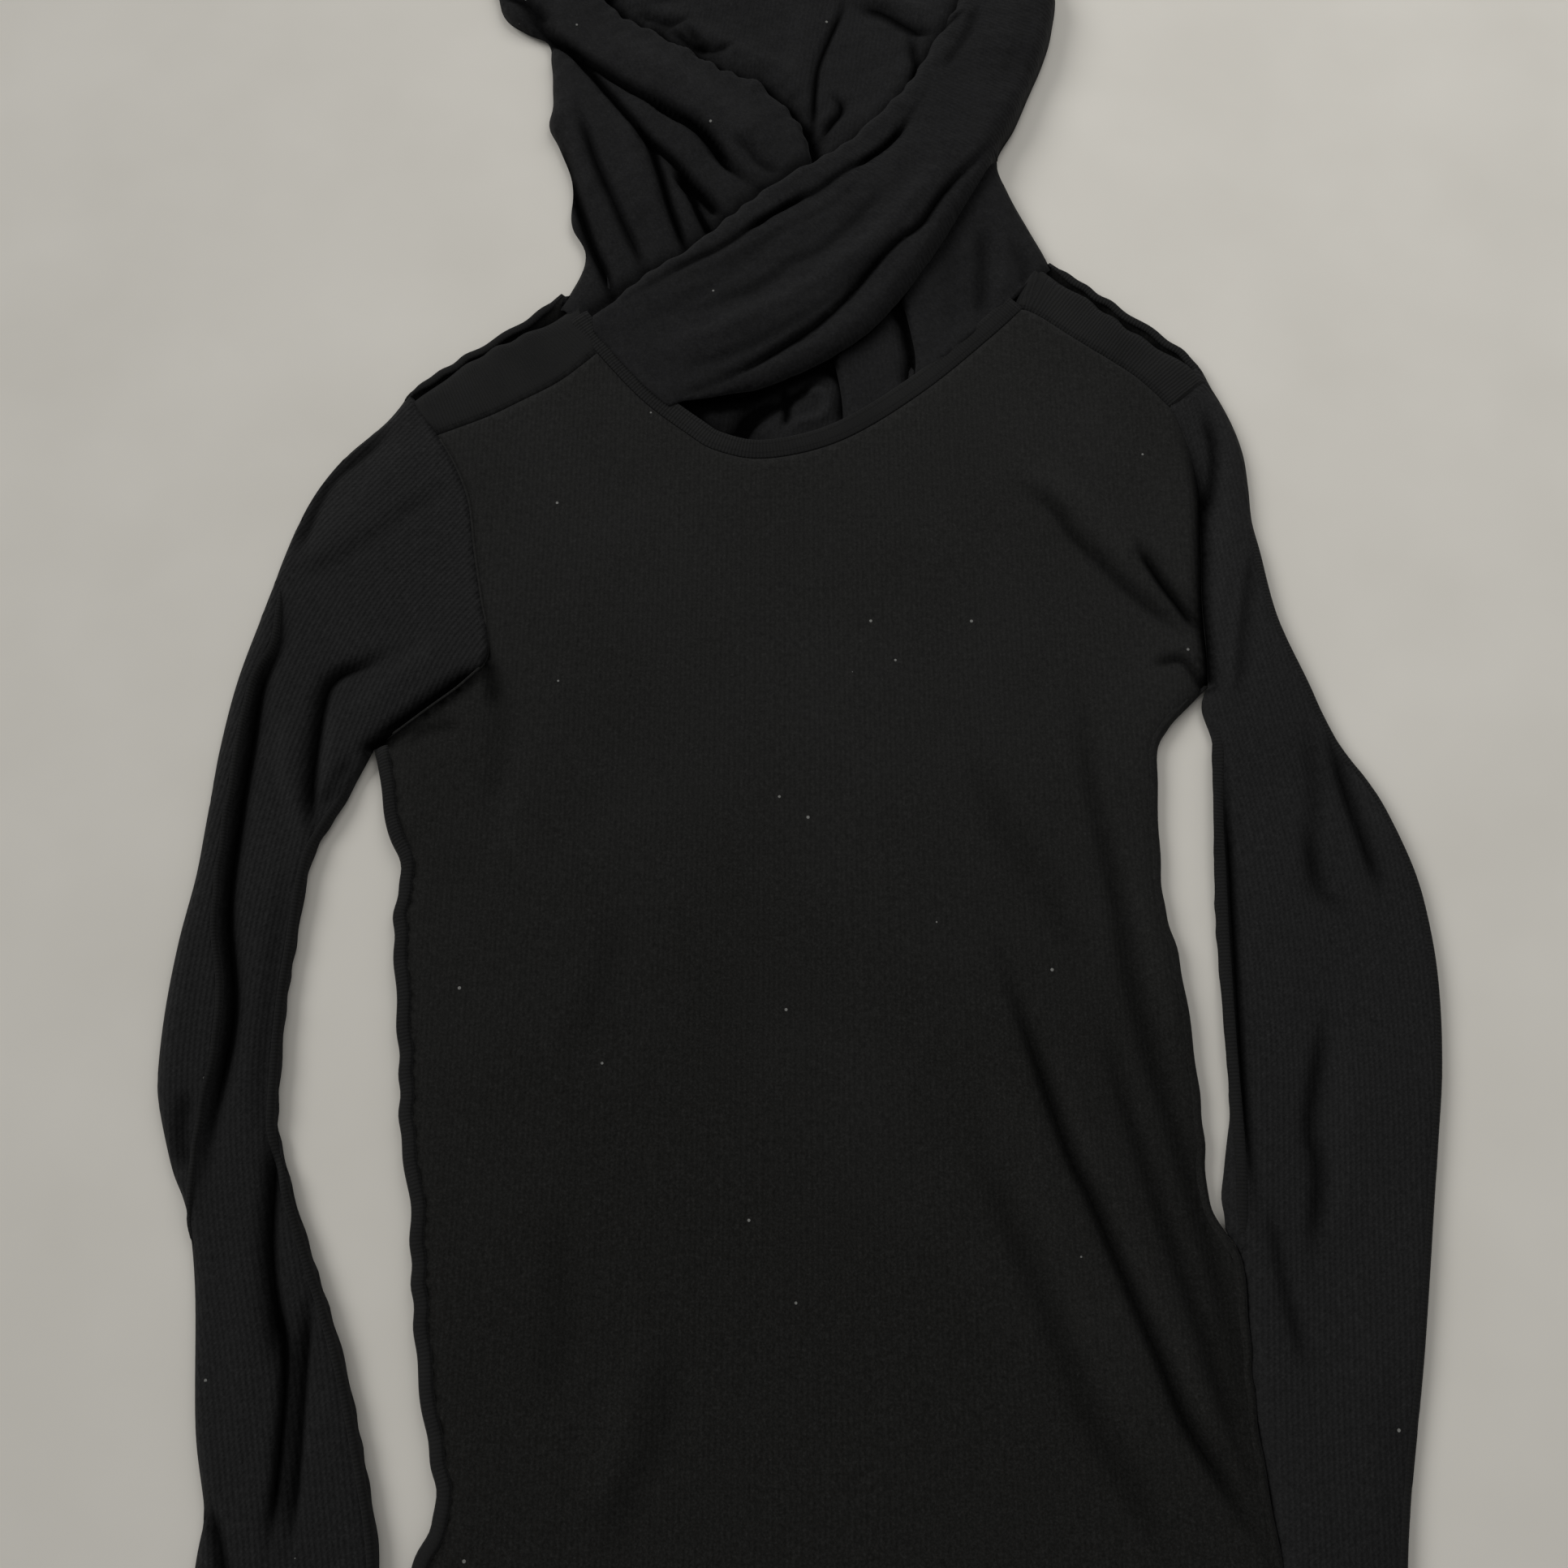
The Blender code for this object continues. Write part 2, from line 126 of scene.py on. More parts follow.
HOOD_RIGHT_SIDE = [
    (-143, 196), (-129, 230), (-138, 254), (-139, 278), (-144, 302), (-155, 327), (-154, 352),
    (-157, 377), (-157, 388), (-161, 396), (-173, 401), (-185, 410), (-193, 428), (-195, 448),
    (-183, 478), (-140, 508), (-80, 526), (-11, 531),
]
HOOD_LEFT_SIDE = [
    (150, 224), (146, 234), (137, 254), (127, 278), (121, 302), (133, 327), (143, 352), (153, 377),
    (160, 402), (163, 436), (150, 482), (108, 514), (50, 528), (-11, 531),
]
RIGHT_FACE_EDGE = [
    (-11, 489), (-62, 483), (-108, 462), (-127, 438), (-116, 412), (-91, 396), (-69, 381), (-47, 366),
    (-26, 357), (-11, 340), (-2, 328), (3, 316), (8, 294),
]
LEFT_FACE_EDGE = [
    (-11, 489), (50, 486), (94, 470), (108, 446), (101, 418), (92, 399), (82, 380), (71, 358), (58, 340),
    (45, 325), (29, 309), (8, 294), (-22, 273), (-44, 253), (-68, 230), (-92, 215), (-124, 189),
]
BAND_LOWER_EDGE = [
    (-69, 130), (-44, 134), (-20, 139), (17, 158), (40, 176), (60, 200), (78, 227), (97, 259), (112, 284),
    (121, 302),
]
UNDER_WRAP_INNER_EDGE = [(66, 146), (67, 160), (65, 176), (62, 192), (55, 215)]

RIGHT_SLEEVE_GUIDE = [
    (-172, 92), (-205, 52), (-240, 8), (-265, -55), (-284, -140), (-292, -230), (-284, -310),
    (-262, -400), (-240, -512),
]
RIGHT_SLEEVE_RIDGE = [
    (-291, 22), (-290, -17), (-300, -46), (-303, -82), (-305, -123), (-305, -173), (-297, -226),
    (-301, -281), (-301, -324), (-297, -340),
]
LEFT_SLEEVE_GUIDE = [
    (226, 130), (236, 70), (243, 10), (254, -60), (267, -140), (270, -230), (262, -330), (254, -420),
    (248, -512),
]

# ------------------------------------------ folds: line, height, reach to its left, reach to its right

TORSO_FOLDS = [
    ([(100, -190), (128, -287), (140, -316), (152, -348), (167, -387), (178, -417), (191, -440),
      (207, -466), (217, -484)], -4.2, 4.5, 3.2),
    ([(112, -215), (138, -287), (152, -322), (166, -358), (181, -396), (195, -428), (212, -455)], 2.4, 9,
      11),
    ([(88, -230), (112, -300), (132, -352), (152, -402), (176, -448)], 1.6, 14, 14),
    ([(150, -40), (154, -97), (164, -166), (168, -209), (177, -252), (187, -298), (197, -341),
      (206, -392), (210, -441)], -3.2, 6, 5),
    ([(150, -225), (158, -261), (165, -289), (179, -341), (190, -380), (199, -417), (213, -460)], -2.6, 5,
      4),
    ([(163, -70), (162, -120), (172, -160), (184, -215), (186, -270)], 1.6, 7, 8),
    ([(92, -80), (107, -128), (128, -165), (149, -214)], -1.5, 8, 7),
    ([(84, -290), (104, -335), (126, -392), (137, -421), (158, -457), (172, -486)], -2.4, 7, 6),
    ([(120, 78), (143, 62), (153, 45), (167, 29), (181, 12), (198, -4), (217, -22)], -3.0, 4.5, 4),
    ([(128, 92), (152, 70), (174, 46), (192, 24)], 1.5, 8, 9),
    ([(187, 41), (200, 16), (210, 0), (219, -16)], -4.0, 3.4, 3),
    ([(192, -36), (201, -31), (209, -32), (215, -42), (218, -51)], -2.4, 2.8, 2.8),
    ([(-59, -380), (-65, -416), (-70, -435), (-80, -451), (-88, -480)], -1.5, 8, 8),
    ([(-77, -383), (-89, -432), (-99, -460)], 1.2, 8, 8),
    ([(-92, -170), (-101, -208), (-111, -250)], -1.2, 10, 9),
    ([(-118, -320), (-115, -369), (-118, -415)], -1.3, 9, 9),
    ([(-170, -30), (-163, -52), (-160, -84), (-164, -120)], -1.5, 7, 7),
    ([(-156, -70), (-150, -110), (-152, -150)], 1.1, 10, 10),
    ([(-178, -4), (-175, -24), (-169, -40), (-165, -63)], -2.4, 4, 4),
    ([(-212, -78), (-196, -70), (-184, -72)], -1.6, 3.4, 3.4),
    ([(-90, 60), (-108, 90), (-122, 124)], -0.9, 12, 12),
]
RIGHT_SLEEVE_FOLDS = [
    ([(-232, 116), (-252, 96), (-271, 74), (-284, 27)], -3.6, 3.5, 5),
    ([(-218, 106), (-240, 80), (-262, 50), (-275, 18)], 1.3, 9, 9),
    ([(-196, 76), (-221, 62), (-251, 36), (-283, 18)], -1.5, 6, 5),
    ([(-292, 18), (-287, -17), (-295, -46), (-297, -82), (-299, -123), (-299, -173), (-291, -226),
      (-295, -281), (-295, -324)], -5.6, 4.5, 3.2),
    ([(-315, -100), (-317, -146), (-320, -200), (-320, -250), (-312, -290)], 1.2, 7, 7),
    ([(-308, -262), (-309, -285), (-304, -305)], -3.0, 4, 4),
    ([(-222, -26), (-240, -34), (-254, -41), (-260, -56), (-262, -102), (-258, -137)], -4.8, 3.4, 4.0),
    ([(-250, -58), (-253, -80), (-252, -112)], 1.4, 5, 5),
    ([(-277, -60), (-276, -98), (-266, -119), (-260, -140)], 1.8, 5, 4),
    ([(-270, -140), (-272, -200), (-272, -260), (-268, -300)], -1.4, 4, 4),
    ([(-262, -278), (-261, -310), (-259, -340), (-253, -372), (-249, -400)], -4.6, 3.0, 4.0),
    ([(-252, -360), (-247, -393), (-246, -437), (-247, -476)], -3.6, 3.5, 2.0),
    ([(-237, -355), (-237, -393), (-236, -437), (-236, -476)], -3.4, 2.0, 4.0),
    ([(-277, -452), (-271, -466), (-265, -484), (-262, -500)], -3.2, 3, 3),
    ([(-272, -330), (-268, -390), (-264, -440)], 0.9, 8, 8),
    ([(-172, -38), (-181, -40), (-203, -57), (-231, -79)], -3.4, 3.5, 3.5),
    ([(-196, -20), (-212, -34), (-232, -52), (-243, -66)], 1.5, 8, 6),
    ([(-240, -86), (-248, -100), (-255, -118)], -1.6, 3, 3),
]
LEFT_SLEEVE_FOLDS = [
    ([(231, 128), (236, 101), (233, 75), (227, 50)], -3.2, 3.4, 3.0),
    ([(228, 140), (241, 110), (241, 80), (238, 40), (232, 0), (229, -30)], 1.8, 7, 7),
    ([(254, 40), (248, 8), (242, -24), (238, -58)], -1.8, 3.4, 5),
    ([(249, 40), (243, 8), (237, -24), (232, -54)], 1.8, 3, 3),
    ([(272, -66), (272, -112), (267, -138), (268, -174)], -2.0, 5, 4.5),
    ([(283, -70), (289, -108), (295, -134), (302, -166)], -3.4, 3.4, 3.4),
    ([(285, -74), (300, -112), (313, -144)], 1.6, 5, 5),
    ([(268, -128), (268, -150), (273, -165), (286, -172)], -1.6, 4, 4),
    ([(267, -222), (257, -257), (251, -284), (253, -306), (244, -350)], -3.4, 4.2, 3.8),
    ([(273, -230), (267, -290), (258, -340)], 1.3, 8, 8),
    ([(228, -318), (230, -350), (234, -375), (239, -398)], -2.2, 3.4, 3.4),
    ([(226, -80), (223, -163), (221, -226), (220, -287), (222, -330)], -3.0, 2.4, 2.2),
    ([(282, -380), (274, -440), (262, -500)], -1.0, 8, 8),
]
RIGHT_HOOD_FOLDS = [
    ([(-184, 424), (-156, 393), (-139, 377), (-117, 360), (-95, 345), (-79, 334), (-63, 322), (-52, 308),
      (-44, 294), (-34, 284), (-18, 271)], -4.8, 2.8, 3.4),
    ([(-96, 346), (-78, 333), (-61, 317), (-50, 302), (-38, 288)], -2.6, 4.4, 4.8),
    ([(-156, 396), (-145, 382), (-131, 363), (-117, 345), (-102, 324), (-95, 314), (-78, 297), (-65, 279),
      (-54, 267), (-42, 252)], -4.2, 2.4, 2.8),
    ([(-76, 290), (-62, 273), (-48, 256)], -3.4, 4, 4),
    ([(-138, 340), (-126, 300), (-117, 278), (-108, 256), (-100, 238), (-90, 212)], -3.2, 2.8, 3.2),
    ([(-97, 322), (-86, 290), (-80, 268), (-73, 247), (-66, 227)], -4.0, 2.4, 2.8),
    ([(-78, 290), (-68, 275), (-61, 259), (-51, 240)], -3.8, 2.2, 2.4),
    ([(-150, 320), (-139, 281), (-133, 262), (-125, 238), (-117, 219), (-110, 194)], -4.8, 2.8, 3.2),
    ([(-44, 314), (-32, 305), (-24, 294), (-10, 287)], -2.0, 3, 3),
    ([(-122, 388), (-84, 364), (-46, 332), (-18, 302)], 2.4, 11, 11),
    ([(-113, 330), (-100, 292), (-86, 250)], 1.4, 6, 5),
    ([(-175, 440), (-150, 452), (-112, 456)], -3.0, 5, 6),
    ([(-190, 428), (-174, 418), (-156, 402)], -3.4, 3.4, 3.4),
    ([(111, 250), (109, 226), (107, 196), (105, 184)], -2.4, 3.6, 4.4),
    ([(124, 262), (122, 228), (120, 202)], 1.2, 5, 5),
    ([(92, 236), (92, 206), (90, 176)], -1.0, 7, 7),
    ([(128, 240), (134, 218), (133, 204)], -1.6, 4, 4),
]
BAND_FOLDS = [
    ([(-72, 132), (-50, 141), (-33, 148), (-18, 157), (-3, 167), (12, 179), (27, 195), (43, 216),
      (58, 234), (72, 246), (82, 262), (96, 281), (107, 293), (124, 316)], -3.4, 2.4, 2.6),
    ([(-104, 196), (-72, 215), (-42, 233), (-26, 247), (-11, 258), (1, 266), (10, 270), (26, 283),
      (39, 292), (52, 302), (62, 315), (71, 331), (80, 346)], -2.2, 2.0, 2.4),
    ([(-32, 241), (-22, 250), (-11, 258), (3, 266)], -2.0, 1.8, 2.0),
    ([(34, 288), (44, 296), (54, 305), (64, 318)], -2.4, 1.8, 2.0),
    ([(-64, 184), (-41, 194), (-24, 202), (-6, 218), (10, 226), (25, 240), (44, 261), (60, 273)], -1.6,
      3.2, 4),
    ([(-96, 180), (-62, 196), (-30, 222), (-4, 244)], -0.9, 4, 4),
    ([(86, 356), (96, 372), (106, 391), (112, 412)], -1.8, 3, 3.4),
    ([(84, 392), (92, 397), (104, 406)], -2.0, 2.4, 2.4),
    ([(-88, 160), (-50, 172), (-8, 194), (34, 226), (66, 262), (98, 308)], 2.0, 6, 6),
    ([(-84, 148), (-46, 156), (-6, 176), (30, 206), (60, 244)], -1.3, 3.0, 3.4),
    ([(-76, 204), (-44, 218), (-14, 238), (18, 258), (50, 286)], -1.1, 3.0, 3.4),
    ([(-70, 208), (-30, 226), (14, 254), (52, 286), (80, 326)], 1.2, 7, 7),
    ([(-48, 138), (-14, 150), (24, 174), (56, 208), (84, 248), (104, 280)], 1.0, 4, 4),
    ([(118, 336), (136, 372), (146, 412)], -1.2, 7, 7),
]
INSIDE_FOLDS = [
    ([(30, 436), (28, 423), (19, 398), (12, 377), (10, 362), (9, 344), (8, 316)], -2.6, 1.8, 2.2),
    ([(4, 430), (0, 390), (-4, 360)], 1.3, 8, 6),
    ([(34, 424), (52, 419), (66, 409), (77, 402), (88, 398)], -4.4, 3.2, 4.0),
    ([(36, 432), (62, 426), (88, 414)], 2.8, 5, 5),
    ([(71, 402), (72, 384), (73, 367), (68, 348)], -2.8, 2.6, 3.0),
    ([(19, 353), (26, 346), (24, 336), (19, 328), (12, 316)], -3.0, 2.2, 2.4),
    ([(-104, 418), (-90, 410), (-79, 408), (-69, 415)], -1.9, 2.2, 2.4),
    ([(-72, 406), (-62, 392), (-54, 387), (-41, 393)], -2.4, 2.4, 2.6),
    ([(-83, 404), (-70, 394), (-57, 385)], -2.0, 2.0, 2.2),
    ([(-98, 420), (-84, 430), (-64, 436)], -1.4, 4, 4),
    ([(-38, 101), (-34, 107), (-28, 118), (-16, 128), (-3, 136), (11, 148)], -3.2, 2.4, 2.6),
    ([(-10, 140), (-8, 129), (-10, 117)], -3.4, 2.2, 2.2),
    ([(-1, 141), (12, 139), (16, 131), (11, 122), (-1, 119), (-8, 113)], 2.8, 3.2, 3.2),
    ([(12, 152), (20, 152), (24, 141), (23, 114)], -3.6, 2.6, 2.6),
    ([(-64, 131), (-58, 116), (-50, 107), (-38, 111), (-31, 122), (-9, 137)], -3.0, 2.4, 2.4),
    ([(-56, 124), (-46, 120), (-36, 126)], 1.8, 4, 4),
]


# ---------------------------------------------------------------- lines and points

def length_along(line):
    """The length along the line up to each of its points."""
    return np.concatenate([[0], np.cumsum(np.linalg.norm(np.diff(line, axis=0), axis=1))])


def leftward(line):
    """The direction to the line's left at each of its points."""
    along = np.gradient(line, axis=0)
    along /= np.linalg.norm(along, axis=1)[:, None]
    return np.column_stack([-along[:, 1], along[:, 0]])


def smooth(points, step=3.0):
    """A Catmull-Rom line through the points, as an array with points a step apart."""
    ends = np.array([points[0], *points, points[-1]], float)
    t = np.linspace(0, 1, 9)[:-1, None]
    spans = []
    for a, b, c, d in zip(ends, ends[1:], ends[2:], ends[3:]):
        bend, twist = 2 * a - 5 * b + 4 * c - d, 3 * b - a - 3 * c + d
        spans.append(0.5 * (2 * b + (c - a) * t + bend * t ** 2 + twist * t ** 3))
    dense = np.vstack([*spans, ends[-1:]])
    run = length_along(dense)
    count = max(2, round(run[-1] / step) + 1)
    even = np.linspace(0, run[-1], count)
    return np.column_stack([np.interp(even, run, dense[:, k]) for k in range(2)])


def beside(line, distance):
    """The line moved to its left by a distance."""
    return line + leftward(line) * distance


def wavy(line, height, length, seed):
    """The line with an uneven wave across it, as a puckered edge has."""
    random = np.random.default_rng(seed)
    run = length_along(line)
    phase = run / length * 2 * math.pi + 1.3 * np.sin(run / length * 1.7 + random.uniform(0, 6))
    ends = np.minimum(1, np.minimum(run, run[-1] - run) / (2 * length))
    return line + leftward(line) * (height * np.sin(phase) * ends)[:, None]


def closed_outline(*lines):
    """The lines end to end as one closed outline, without points that nearly coincide."""
    points = np.vstack(lines)
    kept = [points[0]]
    for point in points[1:]:
        if np.linalg.norm(point - kept[-1]) > 0.8:
            kept.append(point)
    if np.linalg.norm(kept[-1] - kept[0]) < 0.8:
        kept.pop()
    return np.array(kept)


def to_line(points, line):
    """(signed distance, positive to the line's left; length along it; the line's length) of each point."""
    best = np.full(len(points), np.inf)
    side, along = np.ones(len(points)), np.zeros(len(points))
    run = 0.0
    for a, b in zip(line, line[1:]):
        ab = b - a
        size = float(np.hypot(*ab))
        ap = points - a
        t = np.clip(ap @ ab / size ** 2, 0, 1)
        gap = np.linalg.norm(ap - t[:, None] * ab, axis=1)
        nearer = gap < best - 1e-9
        best = np.where(nearer, gap, best)
        side = np.where(nearer, np.sign(ab[0] * ap[:, 1] - ab[1] * ap[:, 0]), side)
        along = np.where(nearer, run + t * size, along)
        run += size
    return best * np.where(side == 0, 1, side), along, run


def inside(points, outline):
    """Whether each point lies inside the outline."""
    found = np.zeros(len(points), bool)
    x, y = points[:, 0], points[:, 1]
    for (x0, y0), (x1, y1) in zip(outline, np.roll(outline, -1, axis=0)):
        if y0 != y1:
            crosses = (y0 > y) != (y1 > y)
            found ^= crosses & (x < (x1 - x0) * (y - y0) / (y1 - y0) + x0)
    return found


def ease(t):
    """0 below 0, 1 above 1, and a soft S between them."""
    t = np.clip(t, 0, 1)
    return t * t * (3 - 2 * t)


def bell(gap, reach):
    """1 where there is no gap, dying out over the reach."""
    return np.exp(-((gap / reach) ** 2))


# ---------------------------------------------------------------- heights

def fold_shapes(points, folds, widening, fade_share, least):
    """(height, mean reach, share of it from 0 to 1 at each point) of each fold, which fades at its ends."""
    for line, size, left, right in folds:
        gap, along, length = to_line(points, smooth(line, 5.0))
        reach = np.where(gap > 0, left, right) * widening
        fade = ease(along / (fade_share * length)) * ease((length - along) / (fade_share * length))
        yield size, (left + right) / 2, bell(gap, reach) * (least + (1 - least) * fade)


def fold_height(points, folds, strength=1.0):
    """The height that the folds add at each point."""
    height = np.zeros(len(points))
    for size, _, share in fold_shapes(points, folds, 1.0, 0.2, 0.12):
        height += strength * size * share
    return height


def painted_fold_shade(points, folds):
    """Painted shade: how deep in a fold valley each point lies, up to 1, and below 0 on a ridge, where a
    painted highlight lightens the knit.
    """
    painted_shading = np.zeros(len(points))
    for size, reach, share in fold_shapes(points, folds, 1.1, 0.25, 0.1):
        steepness = size / (VALLEY_SLOPE * reach) if size < 0 else size / RIDGE_HEIGHT
        painted_shading -= steepness * share
    return np.clip(painted_shading, LIGHTEST_PAINTED_RIDGE, 1.0)


def painted_edge_shadow(points, edge, reach, share):
    """Painted shadow beside an edge that lies over the cloth."""
    return share * bell(to_line(points, edge)[0], reach)


def rolled(points, edges, radius):
    """0 on the edges and 1 further in than the radius, round like cloth that turns over."""
    share = np.ones(len(points))
    for edge in edges:
        gap = np.abs(to_line(points, edge)[0])
        share = np.minimum(share, np.clip(gap / radius, 0, 1))
    return np.sqrt(np.maximum(0, 1 - (1 - share) ** 2))


def uneven(points, size, length, seed):
    """Soft unevenness from six waves in random directions."""
    random = np.random.default_rng(seed)
    height = np.zeros(len(points))
    for _ in range(6):
        angle, phase = random.uniform(0, math.pi), random.uniform(0, 2 * math.pi)
        wave = 2 * math.pi / (length * random.uniform(0.6, 1.6))
        height += np.sin((points[:, 0] * math.cos(angle) + points[:, 1] * math.sin(angle)) * wave + phase)
    return height * size / 3


def puckers(points, line, size, length, reach, seed):
    """Small gathers across a seam or hem, which die out with distance from it."""
    gap, along, _ = to_line(points, line)
    random = np.random.default_rng(seed)
    wave = along / length * 2 * math.pi
    swing = np.sin(wave + 1.2 * np.sin(wave * 0.37 + random.uniform(0, 6)))
    return size * swing * bell(gap, reach)


# ---------------------------------------------------------------- meshes

def skin(outline, height, pitch, folds=(), grain=None, dark=None):
    """(points, triangles, grain map, painted shade of creases and ridges) of the outline filled at a pitch,
    closer along its folds.
    """
    low, high = outline.min(0), outline.max(0)
    grid = np.array([
        (x, y)
        for i, y in enumerate(np.arange(low[1], high[1], pitch * 0.87))
        for x in np.arange(low[0] + pitch / 2 * (i % 2), high[0], pitch)
    ])
    lines = []
    for line, _, left, right in folds:
        middle = smooth(line, FOLD_POINTS)
        reach = min(left, right)
        if reach < 1.8 * pitch:
            lines += [beside(middle, offset * reach) for offset in (-1.5, -0.7, 0.0, 0.7, 1.5)]
    extra = np.vstack(lines) if lines else np.zeros((0, 2))
    loop = np.vstack([outline, outline[:1]])
    edge_gap = pitch * 0.55
    keep = inside(grid, outline) & (np.abs(to_line(grid, loop)[0]) > edge_gap)
    for line in lines:
        keep &= np.abs(to_line(grid, line)[0]) > 0.5 * pitch
    near = inside(extra, outline) & (np.abs(to_line(extra, loop)[0]) > edge_gap)
    points = np.vstack([outline, grid[keep], extra[near]])
    filled = geometry.delaunay_2d_cdt([Vector(p) for p in points], [], [list(range(len(outline)))], 1, 1e-4)
    flat = np.array([tuple(p) for p in filled[0]])
    triangles = [tuple(face) for face in filled[2]]
    uv = flat if grain is None else grain(flat)
    # Painted shade in the fold valleys and painted highlight on the ridges, plus the painted shadow that
    # dark gives.
    painted_crease_shade = painted_fold_shade(flat, folds)
    if dark is not None:
        painted_crease_shade = np.clip(painted_crease_shade + dark(flat), LIGHTEST_PAINTED_RIDGE, 1.0)
    return np.column_stack([flat, height(flat)]), triangles, uv, painted_crease_shade


def row_faces(rows, count):
    """The faces between rows of points that have the same count."""
    return [
        (j * count + i, j * count + i + 1, (j + 1) * count + i + 1, (j + 1) * count + i)
        for j in range(rows - 1)
        for i in range(count - 1)
    ]


def ribbon(line, width, height, lift, across=5, taper=0.0):
    """(points, faces, grain map, painted shade, which is none) of a band centred on the line that lies on a
    height.

    Its edges are let in, and with a taper it narrows and sinks into the cloth over that length at both ends.
    """
    offsets = 0.5 * np.sin(np.linspace(-math.pi / 2, math.pi / 2, across))
    run = length_along(line)
    full = ease(np.minimum(run, run[-1] - run) / taper) if taper else np.ones(len(line))
    rows = [beside(line, width * offset * (0.15 + 0.85 * full)[:, None]) for offset in offsets]
    crown = lift * (1 - (2 * offsets) ** 4)
    points = np.vstack([
        np.column_stack([row, height(row) + rise * full - 0.3 - 0.5 * (1 - full)])
        for row, rise in zip(rows, crown)
    ])
    uv = np.vstack([np.column_stack([np.full(len(line), width * offset), run]) for offset in offsets])
    return points, row_faces(across, len(line)), uv, np.zeros(len(points))


def turned(part):
    """The part with its faces the other way round, for a skin that faces the floor."""
    points, faces, uv, painted_crease_shade = part
    return points, [tuple(reversed(face)) for face in faces], uv, painted_crease_shade


def cloth(name, parts, material, thickness=CLOTH):
    """One piece of cloth from its parts, welded where they meet."""
    points = np.vstack([part[0] for part in parts]) * MM
    uv = np.vstack([part[2] for part in parts]) * MM
    faces, start = [], 0
    for part in parts:
        faces += [tuple(start + index for index in face) for face in part[1]]
        start += len(part[0])
    mesh = bpy.data.meshes.new(name)
    mesh.from_pydata(points.tolist(), [], faces)
    layer = mesh.uv_layers.new(name="grain")
    corners = np.zeros(len(mesh.loops), int)
    mesh.loops.foreach_get("vertex_index", corners)
    layer.data.foreach_set("uv", uv[corners].ravel())
    # Painted shade of the creases and beside overlapping edges, with painted highlight on the ridges, kept
    # as a point attribute for the knit.
    wear_and_painted_shade = mesh.attributes.new("painted_crease_shade", "FLOAT", "POINT")
    wear_and_painted_shade.data.foreach_set("value", np.concatenate([part[3] for part in parts]).astype(np.float32))
    work = bmesh.new()
    work.from_mesh(mesh)
    bmesh.ops.remove_doubles(work, verts=work.verts, dist=WELD)
    work.to_mesh(mesh)
    work.free()
    mesh.shade_smooth()
    mesh.materials.append(material)
    piece = bpy.data.objects.new(name, mesh)
    bpy.context.scene.collection.objects.link(piece)
    solid = piece.modifiers.new("thickness", "SOLIDIFY")
    solid.thickness = thickness * MM
    solid.offset = -1
    return piece


# ---------------------------------------------------------------- materials

class Nodes:
    """A material's node tree with short ways to add and link nodes."""

    def __init__(self, name):
        self.material = bpy.data.materials.new(name)
        self.material.use_nodes = True
        self.tree = self.material.node_tree
        self.shader = self.tree.nodes["Principled BSDF"]

    def add(self, kind, **settings):
        node = self.tree.nodes.new(kind)
        for key, value in settings.items():
            setattr(node, key, value)
        return node

    def link(self, source, target):
        self.tree.links.new(source, target)

    def math(self, operation, first, second=None):
        node = self.add("ShaderNodeMath", operation=operation)
        for socket, value in zip(node.inputs, (first, second)):
            if isinstance(value, (int, float)):
                socket.default_value = value
            elif value is not None:
                self.link(value, socket)
        return node.outputs[0]

    def plus(self, first, second):
        return self.math("ADD", first, second)

    def times(self, first, second):
        return self.math("MULTIPLY", first, second)

    def split(self, vector):
        node = self.add("ShaderNodeSeparateXYZ")
        self.link(vector, node.inputs[0])
        return node.outputs

    def bump(self, relief, distance):
        node = self.add("ShaderNodeBump")
        node.inputs["Strength"].default_value = BUMP_STRENGTH
        node.inputs["Distance"].default_value = distance
        self.link(relief, node.inputs["Height"])
        self.link(node.outputs["Normal"], self.shader.inputs["Normal"])

    def noise(self, coordinates, scale, detail=3.0, roughness=0.5):
        node = self.add("ShaderNodeTexNoise")
        node.inputs["Scale"].default_value = scale
        node.inputs["Detail"].default_value = detail
        node.inputs["Roughness"].default_value = roughness
        self.link(coordinates, node.inputs["Vector"])
        return node.outputs["Fac"]

    def ramp(self, source, stops):
        node = self.add("ShaderNodeValToRGB")
        elements = node.color_ramp.elements
        for element, (place, colour) in zip(elements, stops):
            element.position, element.color = place, (*colour, 1.0)
        self.link(source, node.inputs["Fac"])
        return node.outputs["Color"]

    def mix(self, share, first, second):
        node = self.add("ShaderNodeMix", data_type="RGBA")
        for socket, value in zip((node.inputs[0], node.inputs[6], node.inputs[7]), (share, first, second)):
            if isinstance(value, tuple):
                socket.default_value = (*value, 1.0)
            else:
                self.link(value, socket)
        return node.outputs[2]


